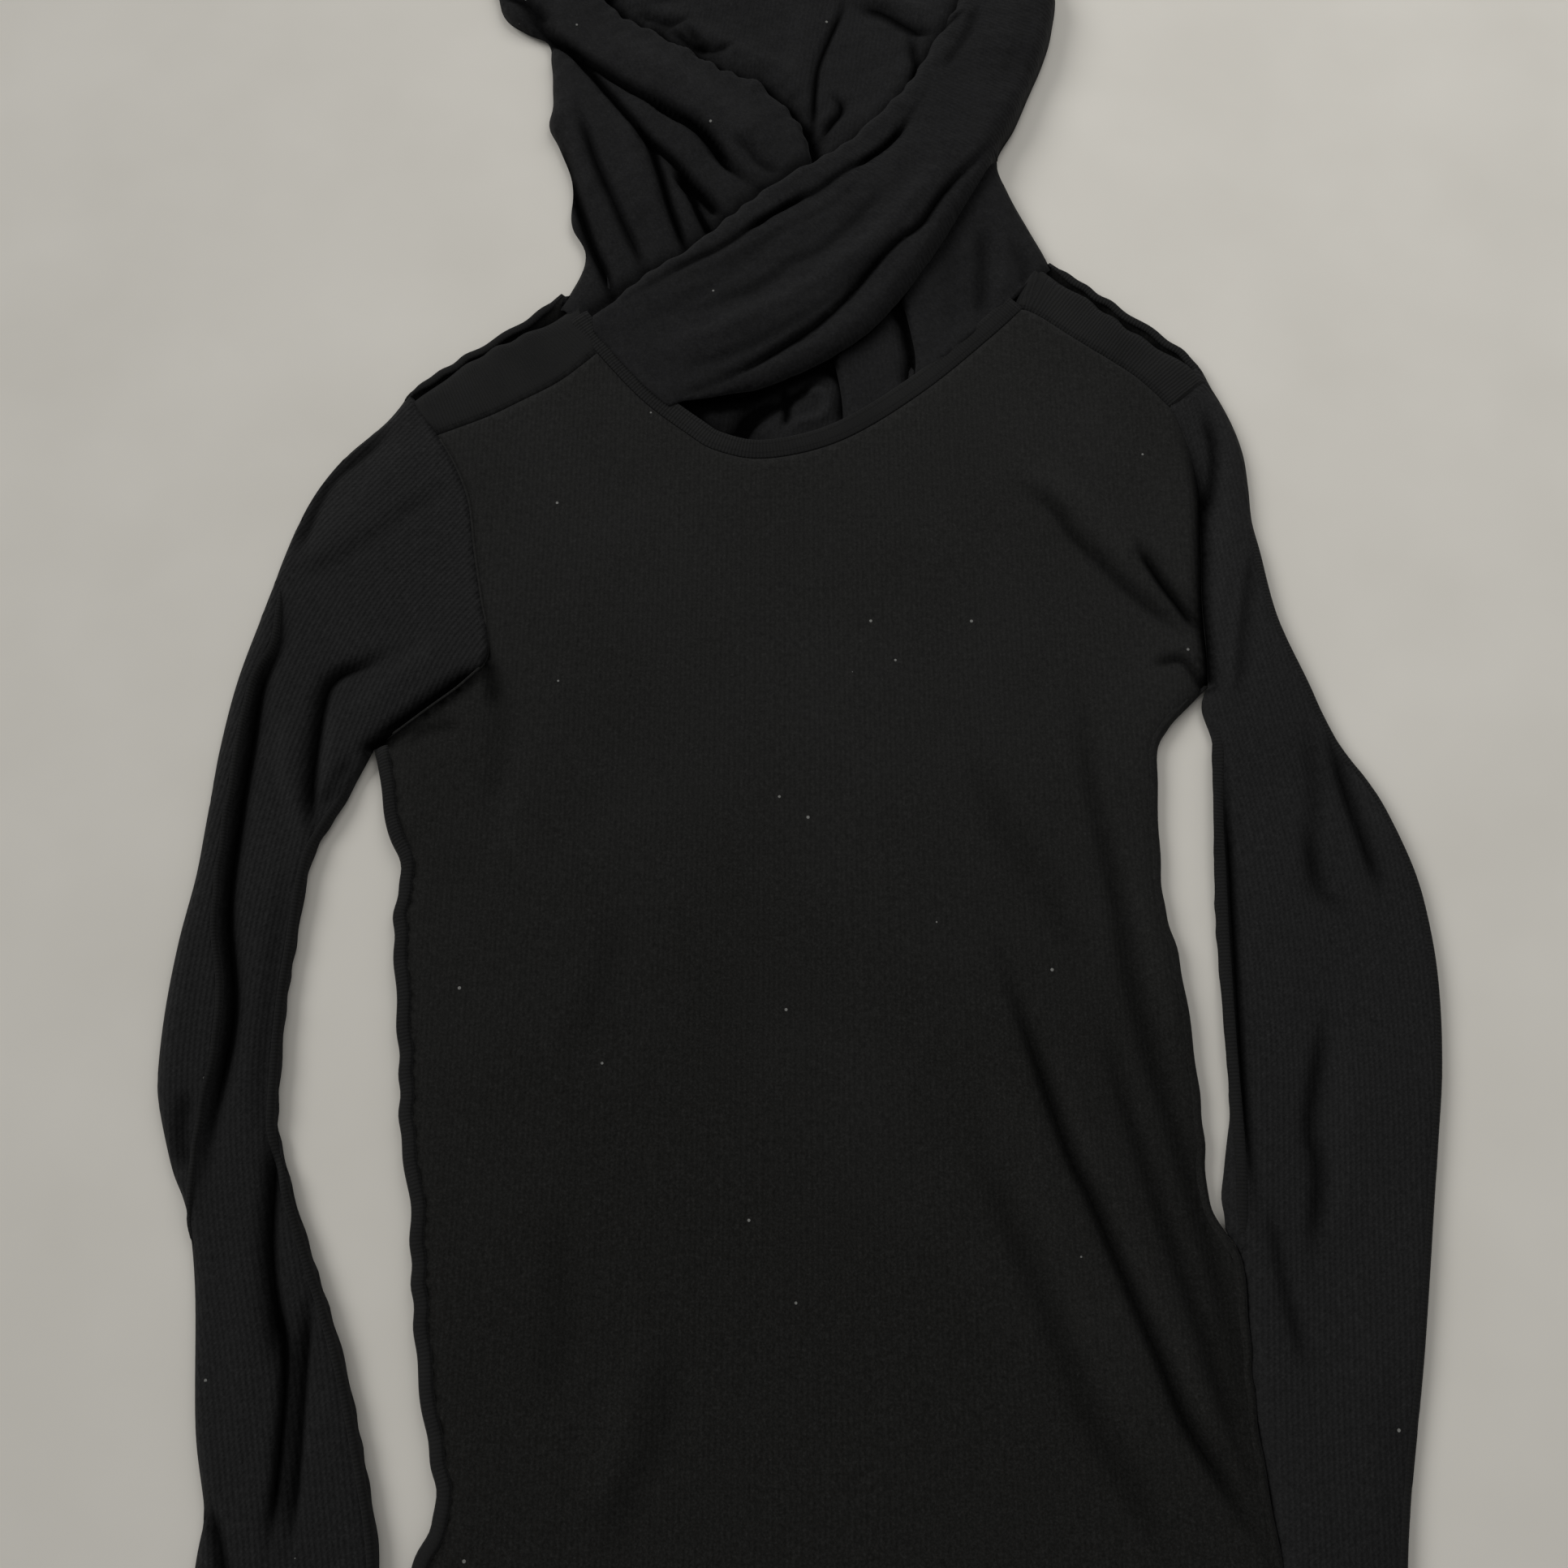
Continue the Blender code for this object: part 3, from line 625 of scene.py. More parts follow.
def knit(name, dark, light, rib_depth, painted_rib_shade, fade=0.0, lint=0.0):
    """Matt black rib knit: ribs along the grain, stitches across them, fuzz, uneven colour and lint, with
    painted shade in the rib hollows and creases, painted highlight on fold ridges and a painted light
    falloff that darkens it towards the bottom.
    """
    nodes = Nodes(name)
    grain = nodes.add("ShaderNodeUVMap", uv_map="grain").outputs["UV"]
    place = nodes.add("ShaderNodeTexCoord").outputs["Object"]
    split = nodes.split(grain)
    drift = nodes.times(nodes.noise(grain, 60.0), 1.6)
    across = nodes.plus(nodes.times(split[0], 2 * math.pi / (RIB * MM)), drift)
    rib = nodes.plus(nodes.times(nodes.math("SINE", across), 0.5), 0.5)
    down = nodes.times(split[1], 2 * math.pi / (0.9 * RIB * MM))
    stitch = nodes.times(nodes.math("SINE", nodes.plus(down, across)), 0.12)
    fuzz = nodes.noise(place, 900.0, 5.0, 0.75)
    relief = nodes.plus(nodes.plus(rib, stitch), nodes.times(fuzz, 1.2))

    # Painted light falloff: with fade set, the colour darkens towards the bottom (lower Y).
    painted_falloff = nodes.times(nodes.math("MINIMUM", nodes.split(place)[1], 0.01), fade)
    patches = nodes.plus(nodes.noise(place, 7.0, 4.0, 0.6), painted_falloff)
    base = nodes.ramp(patches, [(0.1, dark), (0.8, light)])
    # Painted shade in the rib hollows: where the rib sine is low, the colour turns toward the darker hollow
    # colour.
    hollow = tuple(channel * 0.45 for channel in dark)
    clear = nodes.times(nodes.noise(place, 11.0, 3.0), 2.0 * painted_rib_shade)
    shaded = nodes.mix(nodes.times(nodes.math("SUBTRACT", 1.0, rib), clear), base, hollow)
    wear_and_painted_shade = tuple(channel * 1.9 for channel in light)
    flecked = nodes.mix(nodes.times(nodes.math("POWER", fuzz, 3.0), 2.2), shaded, wear_and_painted_shade)

    cells = nodes.add("ShaderNodeTexVoronoi", feature="F1")
    cells.inputs["Scale"].default_value = 60.0
    nodes.link(place, cells.inputs["Vector"])
    # Painted shade of the creases and painted highlight on the ridges: the point attribute scales the colour
    # by kept.
    painted_crease_shade = nodes.add("ShaderNodeAttribute", attribute_name="painted_crease_shade").outputs["Fac"]
    kept = nodes.math("SUBTRACT", 1.0, nodes.times(painted_crease_shade, PAINTED_SHADE_STRENGTH))
    mottle = nodes.plus(nodes.times(nodes.noise(place, 330.0, 5.0, 0.8), 1.6), 0.2)
    painted_shading = nodes.add("ShaderNodeVectorMath", operation="SCALE")
    nodes.link(flecked, painted_shading.inputs[0])
    nodes.link(nodes.times(kept, mottle), painted_shading.inputs["Scale"])
    speck = nodes.math("LESS_THAN", cells.outputs["Distance"], 0.05)
    chosen = nodes.math("GREATER_THAN", nodes.noise(place, 31.0, 1.0), 0.585 - lint)
    colour = nodes.mix(nodes.times(speck, chosen), painted_shading.outputs[0], LINT)
    nodes.link(colour, nodes.shader.inputs["Base Color"])

    nodes.bump(relief, rib_depth * MM)
    finish_cloth(nodes.shader)
    # Painted shade: kept lowers the specular and sheen in the creases too.
    nodes.link(nodes.times(kept, SPECULAR), nodes.shader.inputs["Specular IOR Level"])
    nodes.link(nodes.times(kept, SHEEN), nodes.shader.inputs["Sheen Weight"])
    return nodes.material


def finish_cloth(shader):
    shader.inputs["Roughness"].default_value = 0.95
    shader.inputs["Specular IOR Level"].default_value = SPECULAR
    shader.inputs["Sheen Weight"].default_value = SHEEN
    shader.inputs["Sheen Roughness"].default_value = 0.5


def stitched(name, dark, light):
    """Seam and binding cloth: fine ribs across it, with a line of stitches near each edge."""
    nodes = Nodes(name)
    grain = nodes.add("ShaderNodeUVMap", uv_map="grain").outputs["UV"]
    place = nodes.add("ShaderNodeTexCoord").outputs["Object"]
    split = nodes.split(grain)
    rib = nodes.math("SINE", nodes.times(split[1], 2 * math.pi / (1.9 * MM)))
    aside = nodes.math("ABSOLUTE", split[0])
    offset = nodes.math("ABSOLUTE", nodes.math("SUBTRACT", aside, 2.9 * MM))
    row = nodes.math("LESS_THAN", offset, 0.35 * MM)
    fuzz = nodes.noise(place, 1500.0, 4.0, 0.7)
    relief = nodes.plus(nodes.times(rib, 0.35), nodes.times(fuzz, 0.9))
    relief = nodes.math("SUBTRACT", relief, nodes.times(row, 0.8))
    base = nodes.ramp(nodes.noise(place, 22.0, 4.0, 0.6), [(0.3, dark), (0.7, light)])
    dashed = nodes.mix(nodes.times(row, 0.4), base, tuple(channel * 0.35 for channel in dark))
    wear_and_painted_shade = tuple(channel * 1.8 for channel in light)
    colour = nodes.mix(nodes.times(nodes.math("POWER", fuzz, 3.0), 1.4), dashed, wear_and_painted_shade)
    nodes.link(colour, nodes.shader.inputs["Base Color"])
    nodes.bump(relief, 0.5 * MM)
    finish_cloth(nodes.shader)
    return nodes.material


TORSO_KNIT = knit(
    "torso_rib_knit", (0.0040, 0.0039, 0.0031), (0.0126, 0.0125, 0.0120), 0.17, 0.18, fade=1.1, lint=0.012)
SLEEVE_KNIT = knit(
    "sleeve_rib_knit", (0.0064, 0.0064, 0.0064), (0.0126, 0.0126, 0.0126), 0.34, 0.38, fade=0.4)
HOOD_KNIT = knit(
    "hood_rib_knit", (0.0044, 0.0044, 0.0046), (0.0096, 0.0096, 0.0098), 0.14, 0.14, lint=-0.03)
SEAM_KNIT = stitched("seam_stitched_knit", (0.0070, 0.0070, 0.0069), (0.0118, 0.0118, 0.0115))


# ---------------------------------------------------------------- torso

right_side = wavy(smooth(RIGHT_SIDE), 0.55, 26.0, 3)
left_side = wavy(smooth(LEFT_SIDE), 0.35, 31.0, 5)
right_armhole, left_armhole = smooth(RIGHT_ARMHOLE), smooth(LEFT_ARMHOLE)
neckline = smooth(NECKLINE)
right_yoke_low, left_yoke_low = smooth(RIGHT_YOKE_LOW), smooth(LEFT_YOKE_LOW)


def armhole_dark(points):
    """How far each point lies down in the gaps where the sleeves meet the torso: it lowers the cloth there
    and is also painted shade in the gaps.
    """
    left = painted_edge_shadow(points, left_armhole, 3.8, 1.1) * ease((128 - points[:, 1]) / 80)
    pit = painted_edge_shadow(points, right_armhole, 6.0, 1.15) * ease((-28 - points[:, 1]) / 20)
    return left + pit


# Painted shade in the armhole gaps and a painted shadow along the right armhole.
def torso_painted_shade(points):
    return armhole_dark(points) + painted_edge_shadow(points, right_armhole, 1.6, 0.3)


def torso_height(points):
    height = TORSO_EDGE + (TORSO_TOP - TORSO_EDGE) * rolled(points, [right_side, left_side], 13.0)
    height += fold_height(points, TORSO_FOLDS, 1.25) + uneven(points, 0.35, 110.0, 11)
    height += puckers(points, beside(right_side, 8.0), 0.35, 21.0, 7.0, 4) - 2.4 * armhole_dark(points)
    groove = to_line(points, beside(right_side, 9.5))[0]
    return np.maximum(height - 1.7 * bell(groove, 1.6), 2.4)


def floor_height(points, edges, edge_height):
    return edge_height + (UNDER - edge_height) * rolled(points, edges, 11.0)


def torso_front():
    outline = closed_outline(
        right_side[::-1], right_armhole, right_yoke_low, neckline[4:-2], left_yoke_low, left_armhole,
        left_side,
    )
    front = skin(outline, torso_height, 4.0, TORSO_FOLDS, dark=torso_painted_shade)
    return cloth("torso_front_cloth", [front], TORSO_KNIT)


def torso_back():
    outline = closed_outline(
        right_side[::-1], right_armhole, smooth(RIGHT_BACK_SHOULDER), smooth(BACK_NECK),
        smooth(LEFT_BACK_SHOULDER), left_armhole, left_side,
    )
    sides = [right_side, left_side]
    shoulders = [smooth(RIGHT_BACK_SHOULDER), smooth(LEFT_BACK_SHOULDER)]

    def height(points):
        lifted = floor_height(points, sides, TORSO_EDGE - 1.0)
        return lifted + 3.4 * (1 - rolled(points, shoulders, 9.0)) + uneven(points, 0.2, 120.0, 12)

    # Painted shadow under the high edges of the yokes.
    def dark(points):
        right = painted_edge_shadow(points, smooth(RIGHT_YOKE_HIGH), 6.0, 1.0)
        return right + painted_edge_shadow(points, smooth(LEFT_YOKE_HIGH), 5.0, 1.0)

    back = turned(skin(outline, height, 5.0, dark=dark))
    return cloth("torso_back_cloth", [back], TORSO_KNIT)


def shoulder_edges():
    """The back edges of the shoulders, which show behind the yokes."""
    made = []
    for name, line in (("right", RIGHT_BACK_SHOULDER), ("left", LEFT_BACK_SHOULDER)):
        middle = beside(wavy(smooth(line), 0.8, 22.0, 23), -2.4)
        band = ribbon(middle, 5.0, lambda p: np.full(len(p), 6.3), 1.3, taper=16.0)
        made.append(cloth(name + "_shoulder_back_edge", [band], SEAM_KNIT))
    return made


def side_seams():
    """The felled side seams, whose edge shows beside a dark groove."""
    right = ribbon(beside(right_side, 4.2), 7.8, lambda p: torso_height(p) + 0.4, 0.9)
    left = ribbon(beside(left_side[3:], -2.6), 5.0, torso_height, 0.7, taper=20.0)
    return [
        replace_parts(cloth("right_side_felled_seam", [right], SEAM_KNIT), "right_side_seam"),
        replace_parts(cloth("left_side_rolled_seam", [left], TORSO_KNIT), "left_side_seam"),
    ]


def armhole_seams():
    made = []
    for name, line, lift in (
        ("right_armhole", right_armhole[3:-1], 0.6),
        ("left_armhole", left_armhole[1:-1], 0.0),
    ):
        band = ribbon(line, 1.8, torso_height, lift, across=4)
        piece = cloth(name + "_stitched_seam", [band], TORSO_KNIT)
        made.append(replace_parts(piece, name + "_seam"))
    return made


def yoke(name, low, high, node):
    """A shoulder yoke: flat on top, turned over along the shoulder, with a seam along its lower edge."""
    low, high = smooth(low), wavy(smooth(high), 1.0, 26.0, 22)
    outline = closed_outline(low, high[::-1])

    def height(points):
        lifted = 6.2 + (TORSO_TOP + 0.5 - 6.2) * rolled(points, [high], 9.0)
        groove = to_line(points, low)[0]
        return lifted - 1.3 * bell(groove, 1.8) + uneven(points, 0.35, 40.0, 21)

    top = skin(outline, height, 3.0, grain=lambda p: np.column_stack(to_line(p, low)[:2]))
    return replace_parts(cloth(name, [top], SEAM_KNIT), node)


def neck_binding():
    middle = beside(neckline, 6.2)
    band = ribbon(middle, 12.0, lambda p: torso_height(p) + 0.5, 0.8, across=7)
    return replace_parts(cloth("neck_binding_band", [band], SEAM_KNIT), "neck_binding")


def neck_tape():
    line = beside(smooth(BACK_NECK)[8:-8], -8.0)
    band = ribbon(line, 9.0, lambda p: np.full(len(p), UNDER + 0.6), 0.9)
    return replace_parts(cloth("back_neck_taping", [band], SEAM_KNIT), "back_neck_tape")


def end_band(name, left, right, low, high, top, edge, node, body):
    """A turned and stitched end: the hem or a cuff, as a flattened ring open along its length."""
    count = max(4, round((right - left) / 3.0))
    x = np.linspace(left, right, count)
    across = np.linspace(low, high, 6)
    points = np.array([(a, b + 0.5 * math.sin(a / 19.0)) for b in across for a in x])
    side = np.minimum(points[:, 0] - left, right - points[:, 0])
    turn = np.sqrt(np.maximum(0, 1 - (1 - np.clip(side / 10.0, 0, 1)) ** 2))
    upper = edge + (top - edge) * turn + uneven(points, 0.3, 60.0, 31)
    lower = edge + (UNDER - edge) * turn
    faces = row_faces(len(across), count)
    upper[side < 0.01] = edge
    uv = np.column_stack([points[:, 1] - (low + high) / 2, points[:, 0]])
    even = np.zeros(len(points))
    front = (np.column_stack([points, upper]), faces, uv, even)
    back = turned((np.column_stack([points, lower]), faces, uv, even))
    piece = cloth(name, [front, back], SEAM_KNIT, 1.1)
    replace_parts(piece, node)
    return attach(piece, body)


# ---------------------------------------------------------------- sleeves

def sleeve(side, outer, inner, armhole, folds, guide):
    """A sleeve with its cap: two skins that meet along both edges, open at the armhole and the cuff."""
    outer, inner = smooth(outer), wavy(smooth(inner), 0.35, 21.0, 8)
    start_line = armhole[::-1] if side == "left" else armhole
    outline = closed_outline(start_line, outer, inner[::-1])
    centre = smooth(guide)

    def upper(points):
        height = SLEEVE_EDGE + (SLEEVE_TOP - SLEEVE_EDGE) * rolled(points, [outer, inner], 10.0)
        near = ease(1 - np.abs(to_line(points, armhole)[0]) / 18.0)
        height = height * (1 - near) + np.maximum(height, torso_height(points) - 0.2) * near
        return np.maximum(height + fold_height(points, folds) + uneven(points, 0.3, 70.0, 41), 3.3)

    def under(points):
        return floor_height(points, [outer, inner], SLEEVE_EDGE)

    def grain(points):
        gap, along, _ = to_line(points, centre)
        return np.column_stack([gap, along])

    top = skin(outline, upper, 3.4, folds, grain, torso_painted_shade)
    bottom = turned(skin(outline, under, 4.5, grain=grain))
    piece = cloth(side + "_sleeve_cloth", [top, bottom], SLEEVE_KNIT)
    nodes_replaced = [side + "_sleeve_" + part for part in ("upper", "under", "cap")]
    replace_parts(piece, *nodes_replaced)
    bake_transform(piece)
    return piece, upper


def sleeve_seam(side, edge, line, width, lift, height):
    name = side + "_sleeve_" + edge
    band = ribbon(line, width, height, lift, across=4, taper=24.0)
    piece = cloth(name + "_ridge", [band], SEAM_KNIT, RIDGE)
    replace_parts(piece, name + "_seam")
    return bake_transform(piece)


# ---------------------------------------------------------------- hood

hood_right_side, hood_left_side = wavy(smooth(HOOD_RIGHT_SIDE), 0.5, 33.0, 9), smooth(HOOD_LEFT_SIDE)
right_face = wavy(smooth(RIGHT_FACE_EDGE), 1.2, 19.0, 6)
left_face = wavy(smooth(LEFT_FACE_EDGE), 0.7, 19.0, 7)
band_lower = smooth(BAND_LOWER_EDGE)
under_wrap_inner = smooth(UNDER_WRAP_INNER_EDGE)
inner_neckline = beside(neckline, 9.0)


def right_hood_height(points):
    """The under wrap: high and folded beside the face, low where it is sewn into the neckline."""
    sides = [hood_right_side, hood_left_side]
    y = points[:, 1]
    top = 9.6 + 5.2 * ease((y - 215) / 90) - 3.0 * ease((y - 440) / 70)
    height = 4.0 + (top - 4.0) * rolled(points, sides, 15.0)
    height += fold_height(points, RIGHT_HOOD_FOLDS, 1.35)
    height += uneven(points, 0.7, 36.0, 51) + uneven(points, 0.3, 13.0, 53)
    height += puckers(points, right_face, 0.45, 17.0, 10.0, 52)
    drop = 1 - rolled(points, [right_face[30:]], 6.0)
    drop_low = 1 - rolled(points, [under_wrap_inner], 4.0)
    lowest = 2.6 + 2.4 * ease((y - 200) / 40)
    return np.maximum(height - 4.0 * drop - 3.0 * drop_low, lowest)


def band_height(points):
    """The outer wrap: out of the neckline, high across the under wrap and up round the face."""
    x, y = points.T
    reach = np.abs(to_line(points, neckline)[0])
    top = 11.4 + 8.4 * ease((reach - 6) / 75) + 1.5 * ease((x + 20) / 120) - 6.5 * ease((y - 400) / 110)
    low = 10.2 - 4.5 * ease((y - 285) / 40)
    share = rolled(points, [band_lower, hood_left_side[20:]], 13.0)
    height = low + (top - low) * share
    height += fold_height(points, BAND_FOLDS, 1.15)
    height += uneven(points, 0.8, 38.0, 61) + uneven(points, 0.3, 13.0, 63)
    height += puckers(points, beside(left_face, 8.0), 0.35, 23.0, 6.0, 62)
    gap = np.abs(to_line(points, left_face)[0])
    return np.maximum(height - 5.0 * np.maximum(0, 1 - gap / 6.5) ** 2, 3.0)


def inside_height(points):
    """The inside of the hood's back, which shows in the face opening and the neck hollow."""
    sides = [hood_right_side, hood_left_side]
    height = 3.4 + fold_height(points, INSIDE_FOLDS, 1.2) + uneven(points, 0.5, 30.0, 71)
    from_face = to_line(points, right_face)[0]
    height += 3.6 * bell(from_face - 19, 8.0)
    height += puckers(points, beside(right_face, 14.0), 0.8, 15.0, 9.0, 72)
    height -= 2.0 * bell(from_face - 4, 4.5)
    height += painted_edge_shadow(points, left_face, 16.0, 5.0) * ease((points[:, 1] - 300) / 40)
    covered = ease(-from_face / 6.0) * ease((points[:, 1] - 230) / 20)
    return np.clip(height * rolled(points, sides, 12.0) + 1.2, 3.2, 8.5 - 4.8 * covered)


def follow_hood(piece, nodes_replaced):
    """The piece, standing for its solids, with its place baked into its points."""
    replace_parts(piece, *nodes_replaced)
    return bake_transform(piece)


def hood_piece(name, parts, nodes_replaced):
    return follow_hood(cloth(name, parts, HOOD_KNIT), nodes_replaced)


def hood_ribbon(name, part, nodes_replaced, material):
    """A hem or seam of the hood."""
    return follow_hood(cloth(name, [part], material, RIDGE), nodes_replaced)


def slanted(points, degrees):
    """A grain map whose ribs run at an angle to +Y."""
    turn = math.radians(degrees)
    x, y = points.T
    cosine, sine = math.cos(turn), math.sin(turn)
    return np.column_stack([x * cosine + y * sine, y * cosine - x * sine])


def right_hood():
    neck_right = inner_neckline[::-1][3:22]
    hidden = smooth([(40, 232), (-20, 206), (-70, 184), (-112, 172), (-143, 196)])
    outline = closed_outline(
        hood_right_side, right_face, smooth([(8, 294), (60, 288), (121, 302)]), hood_left_side[:27][::-1],
        neck_right, under_wrap_inner, hidden,
    )

    # Painted shadow beside the left face edge and the band's lower edge.
    def dark(points):
        return painted_edge_shadow(points, left_face, 7.0, 0.75) + painted_edge_shadow(points, band_lower, 6.0, 0.6)

    front = skin(outline, right_hood_height, 2.6, RIGHT_HOOD_FOLDS, lambda p: slanted(p, 28), dark)
    middle = np.array([(-10.0, 531.0), (-10.0, 184.0)])
    back_line = closed_outline(hood_right_side, middle, smooth(BACK_NECK)[:18][::-1])
    back = turned(skin(back_line, lambda p: floor_height(p, [hood_right_side], 3.6), 4.5))
    return hood_piece("hood_under_wrap_cloth", [front, back], ["hood_right_half", "under_wrap_end"])


def left_hood():
    tucked = beside(neckline, 7.0)[5:29]
    outline = closed_outline(left_face, tucked, band_lower, hood_left_side[27:])
    middle = smooth([
        (-95, 155), (-30, 190), (40, 240), (90, 310), (130, 390), (140, 440), (100, 495), (-11, 512),
    ])

    def grain(points):
        gap, along, _ = to_line(points, middle)
        return np.column_stack([along, gap])

    front = skin(outline, band_height, 2.6, BAND_FOLDS, grain)
    seam = np.array([(-12.0, 531.0), (-12.0, 184.0)])
    back_line = closed_outline(hood_left_side, seam, smooth(BACK_NECK)[-34:])
    back = turned(skin(back_line, lambda p: floor_height(p, [hood_left_side], 3.6), 4.5))
    return hood_piece("hood_outer_wrap_cloth", [front, back], ["hood_left_half", "outer_wrap_end"])


def hood_inside():
    outline = closed_outline(
        smooth([(-128, 300), (-140, 360), (-150, 420), (-160, 460), (-120, 500), (-11, 522)]),
        smooth([
            (-11, 522), (90, 504), (146, 460), (144, 420), (120, 340), (104, 300), (110, 230), (84, 160),
        ]),
        beside(neckline, 3.0)[::-1][14:-12],
        smooth([(-80, 130), (-110, 180), (-118, 240), (-128, 300)]),
    )

    # Painted shade in the neck hollow and painted shadow beside the face edges, the band's lower edge and
    # the neckline.
    def dark(points):
        hollow = 0.55 * ease((165 - points[:, 1]) / 12) * ease((-16 - points[:, 0]) / 20)
        faces = painted_edge_shadow(points, beside(right_face, 2.5), 4.6, 1.15) + painted_edge_shadow(points, left_face, 6.0, 0.7)
        edges = painted_edge_shadow(points, band_lower, 8.0, 0.9) + painted_edge_shadow(points, neckline, 9.0, 0.4)
        return faces + hollow + edges

    inner = skin(outline, inside_height, 3.0, INSIDE_FOLDS, lambda p: slanted(p, -8), dark)
    return hood_piece("hood_inside_cloth", [inner], ["hood_base"])


def neck_lobe():
    """The fold of the under wrap that bunches up behind its inner edge."""
    edge = smooth([(24, 108), (24, 127), (22.5, 143), (19, 160)])
    outline = closed_outline(
        edge, smooth([(19, 160), (40, 200), (74, 214)]), smooth([(76, 200), (74, 170), (70, 143)]),
        beside(neckline, 8.0)[::-1][29:46],
    )

    def height(points):
        fall = 1 - rolled(points, [edge], 4.0)
        dip = bell(to_line(points, under_wrap_inner)[0] - 2.0, 6.0)
        return 9.2 - 4.4 * fall - 4.6 * dip + uneven(points, 0.7, 26.0, 81)

    # Painted shadow beside the under wrap's inner edge and the band's lower edge.
    def dark(points):
        beside_edge = painted_edge_shadow(points, beside(under_wrap_inner, 2.5), 4.5, 1.1)
        return beside_edge + painted_edge_shadow(points, band_lower, 7.0, 0.8)

    lobe = skin(outline, height, 2.6, grain=lambda p: slanted(p, 4), dark=dark)
    piece = cloth("under_wrap_inner_fold", [lobe], HOOD_KNIT)
    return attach(piece, "torso")


# ---------------------------------------------------------------- floor, lights, camera

def studio():
    """A plain pale floor, a soft sky, a key light and a large soft fill light."""
    bpy.ops.mesh.primitive_plane_add(size=8.0, location=(0, 0, -0.0004))
    floor = bpy.context.object
    floor.name = "floor"
    nodes = Nodes("floor_pale")
    place = nodes.add("ShaderNodeTexCoord").outputs["Object"]
    pale, paler = (0.60, 0.575, 0.52), (0.64, 0.615, 0.56)
    colour = nodes.ramp(nodes.noise(place, 9.0), [(0.3, pale), (0.7, paler)])
    nodes.link(colour, nodes.shader.inputs["Base Color"])
    nodes.shader.inputs["Roughness"].default_value = 0.9
    floor.data.materials.append(nodes.material)

    world = bpy.context.scene.world or bpy.data.worlds.new("soft_sky")
    bpy.context.scene.world = world
    world.use_nodes = True
    sky = world.node_tree.nodes["Background"].inputs
    sky["Color"].default_value = (1.0, 1.0, 1.0, 1.0)
    sky["Strength"].default_value = SKY_STRENGTH
    for name, kind, place, strength in (
        ("key", "SUN", (-1.5, 0.5, 1.2), KEY_STRENGTH),
        ("fill", "AREA", (0.35, 0.75, 1.0), FILL_STRENGTH),
    ):
        lamp = bpy.data.lights.new(name, kind)
        lamp.energy = strength
        if kind == "SUN":
            lamp.angle = math.radians(30)
        else:
            lamp.size = 0.9
        light = bpy.data.objects.new(name, lamp)
        light.location = place
        light.rotation_euler = (-Vector(place)).to_track_quat("-Z", "Y").to_euler()
        bpy.context.scene.collection.objects.link(light)


def photo_camera():
    lens = bpy.data.cameras.new("camera")
    lens.lens, lens.sensor_width = 36.0, 36.0
    lens.clip_start, lens.clip_end = 0.01, 50.0
    camera = bpy.data.objects.new("camera", lens)
    camera.location = CAMERA_PLACE
    camera.rotation_euler = (math.radians(CAMERA_TILT), 0.0, 0.0)
    bpy.context.scene.collection.objects.link(camera)
    bpy.context.scene.camera = camera
    bpy.context.scene.view_settings.view_transform = "Standard"


# ---------------------------------------------------------------- the whole top

def make_torso():
    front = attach(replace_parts(torso_front(), "front_panel"), "torso")
    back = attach(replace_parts(torso_back(), "back_panel"), "torso")
    trims = side_seams() + armhole_seams() + shoulder_edges() + [neck_binding(), neck_tape()]
    trims.append(yoke("right_yoke_cloth", RIGHT_YOKE_LOW, RIGHT_YOKE_HIGH, "right_shoulder_yoke"))
    trims.append(yoke("left_yoke_cloth", LEFT_YOKE_LOW, LEFT_YOKE_HIGH, "left_shoulder_yoke"))
    for piece in trims:
        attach(piece, "torso")
    end_band(
        "hem_stitched_band", -187.5, 224.5, -526, -504, TORSO_TOP + 0.5, TORSO_EDGE, "hem_band", "torso",
    )
    return front, back


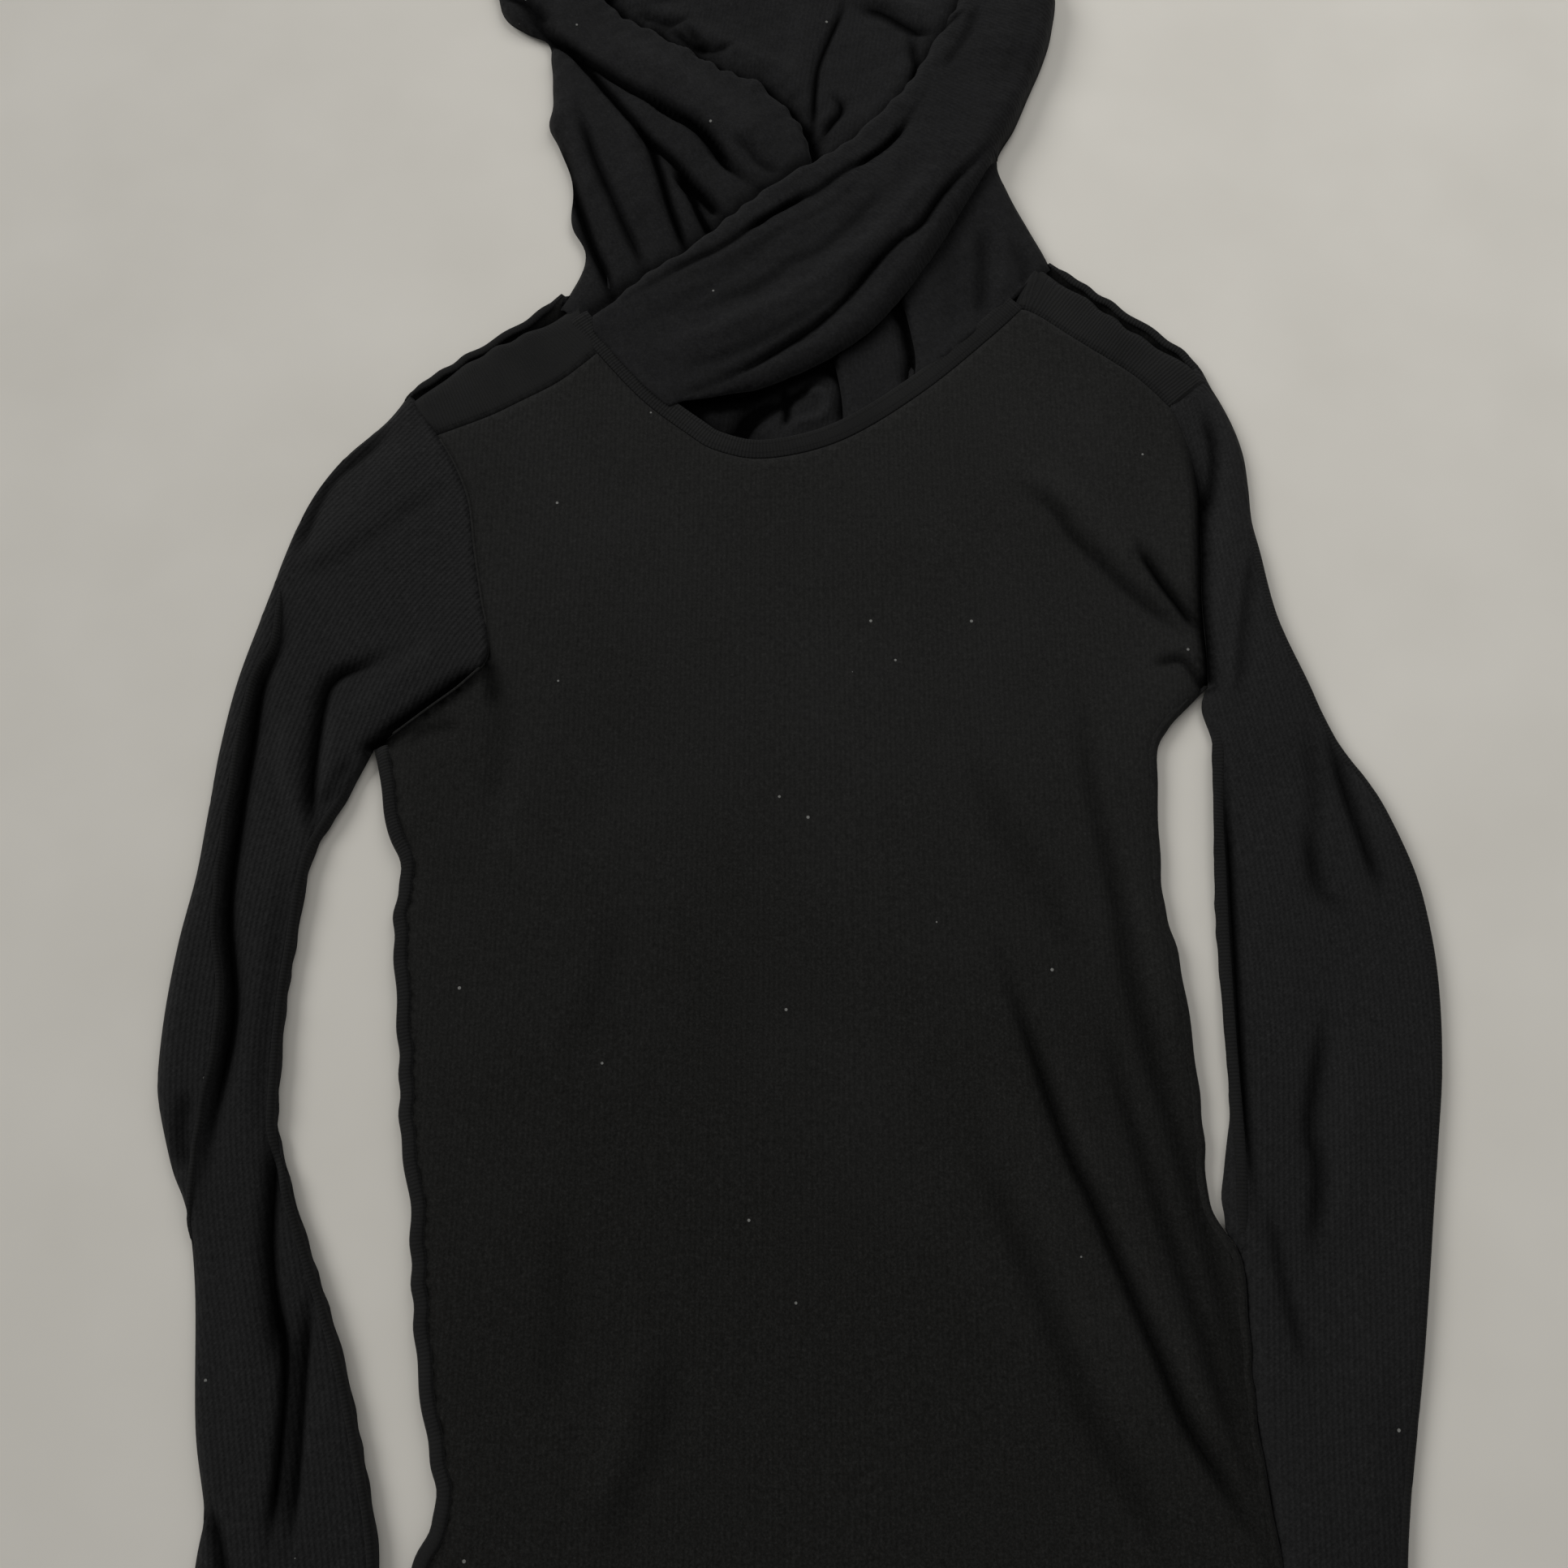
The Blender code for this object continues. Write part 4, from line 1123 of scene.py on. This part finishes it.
def make_sleeves():
    right, right_top = sleeve(
        "right", RIGHT_SLEEVE_OUTER, RIGHT_SLEEVE_INNER, right_armhole, RIGHT_SLEEVE_FOLDS,
        RIGHT_SLEEVE_GUIDE,
    )
    left, left_top = sleeve(
        "left", LEFT_SLEEVE_OUTER, LEFT_SLEEVE_INNER, left_armhole, LEFT_SLEEVE_FOLDS,
        LEFT_SLEEVE_GUIDE,
    )
    ridge = wavy(smooth(RIGHT_SLEEVE_RIDGE), 0.4, 37.0, 14)
    right_inner = beside(smooth(RIGHT_SLEEVE_INNER)[6:], -3.0)
    left_inner = smooth([(225, -62), (223, -84), (218, -163), (216.5, -226), (216, -287), (212, -344)])
    left_outer = beside(smooth(LEFT_SLEEVE_OUTER)[48:], -3.0)
    sleeve_seam("right", "outer", ridge, 3.8, 1.9, right_top)
    sleeve_seam("right", "inner", right_inner, 4.4, 1.2, right_top)
    sleeve_seam("left", "inner", left_inner, 6.4, 1.3, left_top)
    sleeve_seam("left", "outer", left_outer, 4.4, 0.9, left_top)
    for side, left_end, right_end in (("right", -283, -191), ("left", 221, 274)):
        end_band(
            side + "_cuff_band", left_end, right_end, -532, -509, SLEEVE_TOP + 0.4, SLEEVE_EDGE,
            side + "_cuff", side + "_sleeve",
        )
    return right, left


def make_hood():
    under, outer, inner = right_hood(), left_hood(), hood_inside()
    neck_lobe()
    outer_hem = ribbon(beside(left_face, 6.5), 10.0, lambda p: band_height(p) - 0.8, 0.0, across=6)
    hood_ribbon("face_hem_outer_wrap", outer_hem, ["left_face_hem", "outer_wrap_hem"], HOOD_KNIT)
    under_hem = ribbon(beside(right_face, -4.6), 7.0, lambda p: right_hood_height(p) - 0.8, 0.0, across=6)
    hood_ribbon("face_hem_under_wrap", under_hem, ["right_face_hem"], HOOD_KNIT)
    centre = smooth([(-11, 190), (-11, 360), (-11, 529)], 4.0)
    seam = turned(ribbon(centre, 7.0, lambda p: np.full(len(p), 1.1), -0.5))
    hood_ribbon("hood_centre_seam", seam, ["hood_back_seam"], SEAM_KNIT)
    return under, outer, inner


photo_camera()
studio()
front_cloth, back_cloth = make_torso()
make_sleeves()
make_hood()
